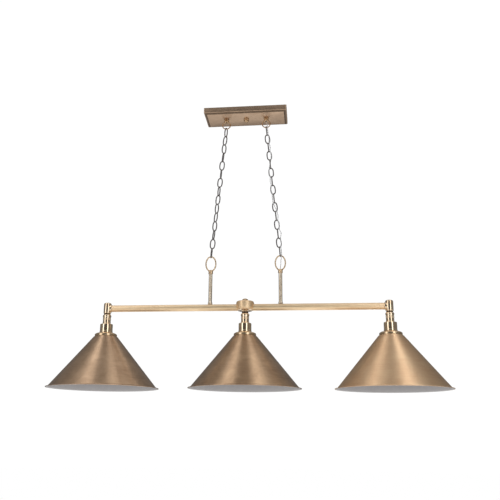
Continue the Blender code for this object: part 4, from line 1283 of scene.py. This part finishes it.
# %% Nuts
def hex_nut(name, across_flats, hole_r, low_z, high_z, finish):
    """A six-sided nut with chamfered corners: a turned disc trimmed by six flats."""
    corner_r = across_flats / math.sqrt(3)
    disc = turned(name, [(hole_r, low_z), (corner_r, low_z, 0.8), (corner_r, high_z, 0.8),
                         (hole_r, high_z)], finish, sides=72)
    bm = bmesh.new()
    outline = [(corner_r * math.cos(math.pi / 3 * k), corner_r * math.sin(math.pi / 3 * k))
               for k in range(6)]
    faces = [bm.faces.new([bm.verts.new((x, y, z)) for x, y in outline])
             for z in (low_z - 1, high_z + 1)]
    bmesh.ops.bridge_loops(bm, edges=[edge for face in faces for edge in face.edges])
    return cut(disc, make_object("flats", bm, finish), "INTERSECT")


for side, axis in zip(SIDES, (-hook, hook)):
    inner = pan + sheet
    nut = put(hex_nut("lock_nut_" + side, 13.0, 4.6, inner + 0.3, inner + 3.3, "zinc"),
              Vector((axis * MM, 0, 0)))
    stand_in(nut, "canopy", "zinc_steel")
low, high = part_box("canopy_cap_nut")
seat, tip = high.z / MM, low.z / MM
corners = [
    (0.0, seat - 6.2), (3.2, seat - 5.6), (3.2, seat), (7.4, seat, 0.3), (7.4, seat - 1.4, 0.5),
    (6.4, seat - 2.0, 0.4), (6.9, seat - 3.6, 0.8), (6.2, seat - 6.2, 1.2), (3.6, tip + 0.4, 1.6),
    (0.0, tip),
]
nut = put(turned("cap_nut_turned", corners, "aged", closed=False, sides=64), Vector((0, 0, 0)))
stand_in(nut, "canopy", "polished_brass", "canopy_cap_nut")
print("nuts: 2 lock nuts and a cap nut")

# %% [markdown]
# ## Inside the canopy
#
# Seen from above, the open canopy shows how the lamp is hung and wired. A zinc-plated
# strip is screwed to the ceiling through its two slots, and its stud comes down through
# the panel. A terminal block takes the house wires. Two short cores join it to the flex.


# %% Bracket
def slot_block(name, length, width, low_z, high_z, finish):
    """A flat bar with round ends along X."""
    bm = bmesh.new()
    reach, radius = (length - width) / 2, width / 2
    outline = []
    for end, start in ((1, -90), (-1, 90)):
        for step in range(17):
            angle = math.radians(start + 180 * step / 16)
            outline.append((end * reach + radius * math.cos(angle), radius * math.sin(angle)))
    faces = [bm.faces.new([bm.verts.new((x, y, z)) for x, y in outline])
             for z in (low_z, high_z)]
    bmesh.ops.bridge_loops(bm, edges=[edge for face in faces for edge in face.edges])
    return make_object(name, bm, finish, 30)


low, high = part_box("mounting_bracket")
STRIP = 2.0
strip = slot_block("ceiling_strip", (high.x - low.x) / MM, (high.y - low.y) / MM,
                   high.z / MM - STRIP, high.z / MM, "zinc")
for x in (-44.0, 44.0):
    slot = slot_block("slot", 18.0, 5.0, -STRIP - 1, 1.0, "zinc")
    cut(strip, put(slot, Vector((x * MM, 0, 0))))
strip.modifiers.new("edges", "BEVEL").width = 0.0003
stand_in(strip, "canopy", "zinc_steel", "mounting_bracket")
stud_low = low.z / MM
stud = [(0.0, -STRIP + 0.2), (2.9, -STRIP + 0.2),
        *thread_corners(2.9, -STRIP - 0.5, stud_low + 1.0, 1.0, 0.35), (2.4, stud_low, 0.3),
        (0.0, stud_low)]
stud = put(turned("bracket_stud", stud, "zinc", closed=False, sides=40, steps=2),
           Vector((0, 0, 0)))
stand_in(stud, "canopy", "zinc_steel")
print("bracket strip and stud")

# %% Terminal block and cores
low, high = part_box("terminal_block")
centre, half = (low + high) / 2 / MM, (high - low) / 2 / MM
bm = bmesh.new()
bmesh.ops.create_cube(bm, size=2.0)
bmesh.ops.scale(bm, vec=half, verts=bm.verts)
bmesh.ops.bevel(bm, geom=list(bm.edges), offset=0.7, segments=3, affect="EDGES", profile=0.5)
bmesh.ops.translate(bm, vec=centre, verts=bm.verts)
block = make_object("terminal_block_moulded", bm, "nylon", 30)
for step_x in (-8, 0, 8):
    well = turned("well", [(0, -14), (2.2, -14), (2.2, -6.4), (0, -6.4)], "nylon", closed=False,
                  sides=32)
    cut(block, put(well, Vector((centre.x + step_x, 0, 0)) * MM))
    head = turned(f"terminal_screw_{step_x + 8:02d}",
                  [(0, -8.6), (1.9, -8.6, 0.4), (1.9, -7.0, 0.3), (0, -7.0)], "zinc",
                  closed=False, sides=32)
    screw_slot = slot_block("slot", 4.4, 0.5, -9.0, -8.1, "zinc")
    cut(head, screw_slot)
    stand_in(put(head, Vector((centre.x + step_x, 0, 0)) * MM), "canopy", "zinc_steel")
stand_in(block, "canopy", "white_insulator", "terminal_block")
for number, (y, colour) in enumerate(((-1.5, "lining"), (1.5, "flex"))):
    bm = bmesh.new()
    run = smooth_through([
        Vector((hook, y * 0.3, -7.0)), Vector((hook - 3.0, y * 0.8, -5.4)),
        Vector((centre.x + half.x + 5.0, y * 1.8, -5.2)),
        Vector((centre.x + half.x + 0.4, y * 2.4, -7.0)),
    ], 0.5)
    swept(bm, run, CORE_R, sides=12)
    core = make_object(f"canopy_core_{number + 1}", bm, colour, 70)
    stand_in(core, "canopy", "clear_sheath")
print("terminal block", round(2 * half.x), "mm long, with 2 cores")

# %% [markdown]
# ## How far the model reaches
#
# The last cell measures how far the finished model reaches past its frame's box.

# %% How far the visual box reaches
seen_low, seen_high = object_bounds()
grown = max(max(cad_low - seen_low), max(seen_high - cad_high)) / MM
print("visual box stands", round(grown, 2), "mm past the frame's box at most")
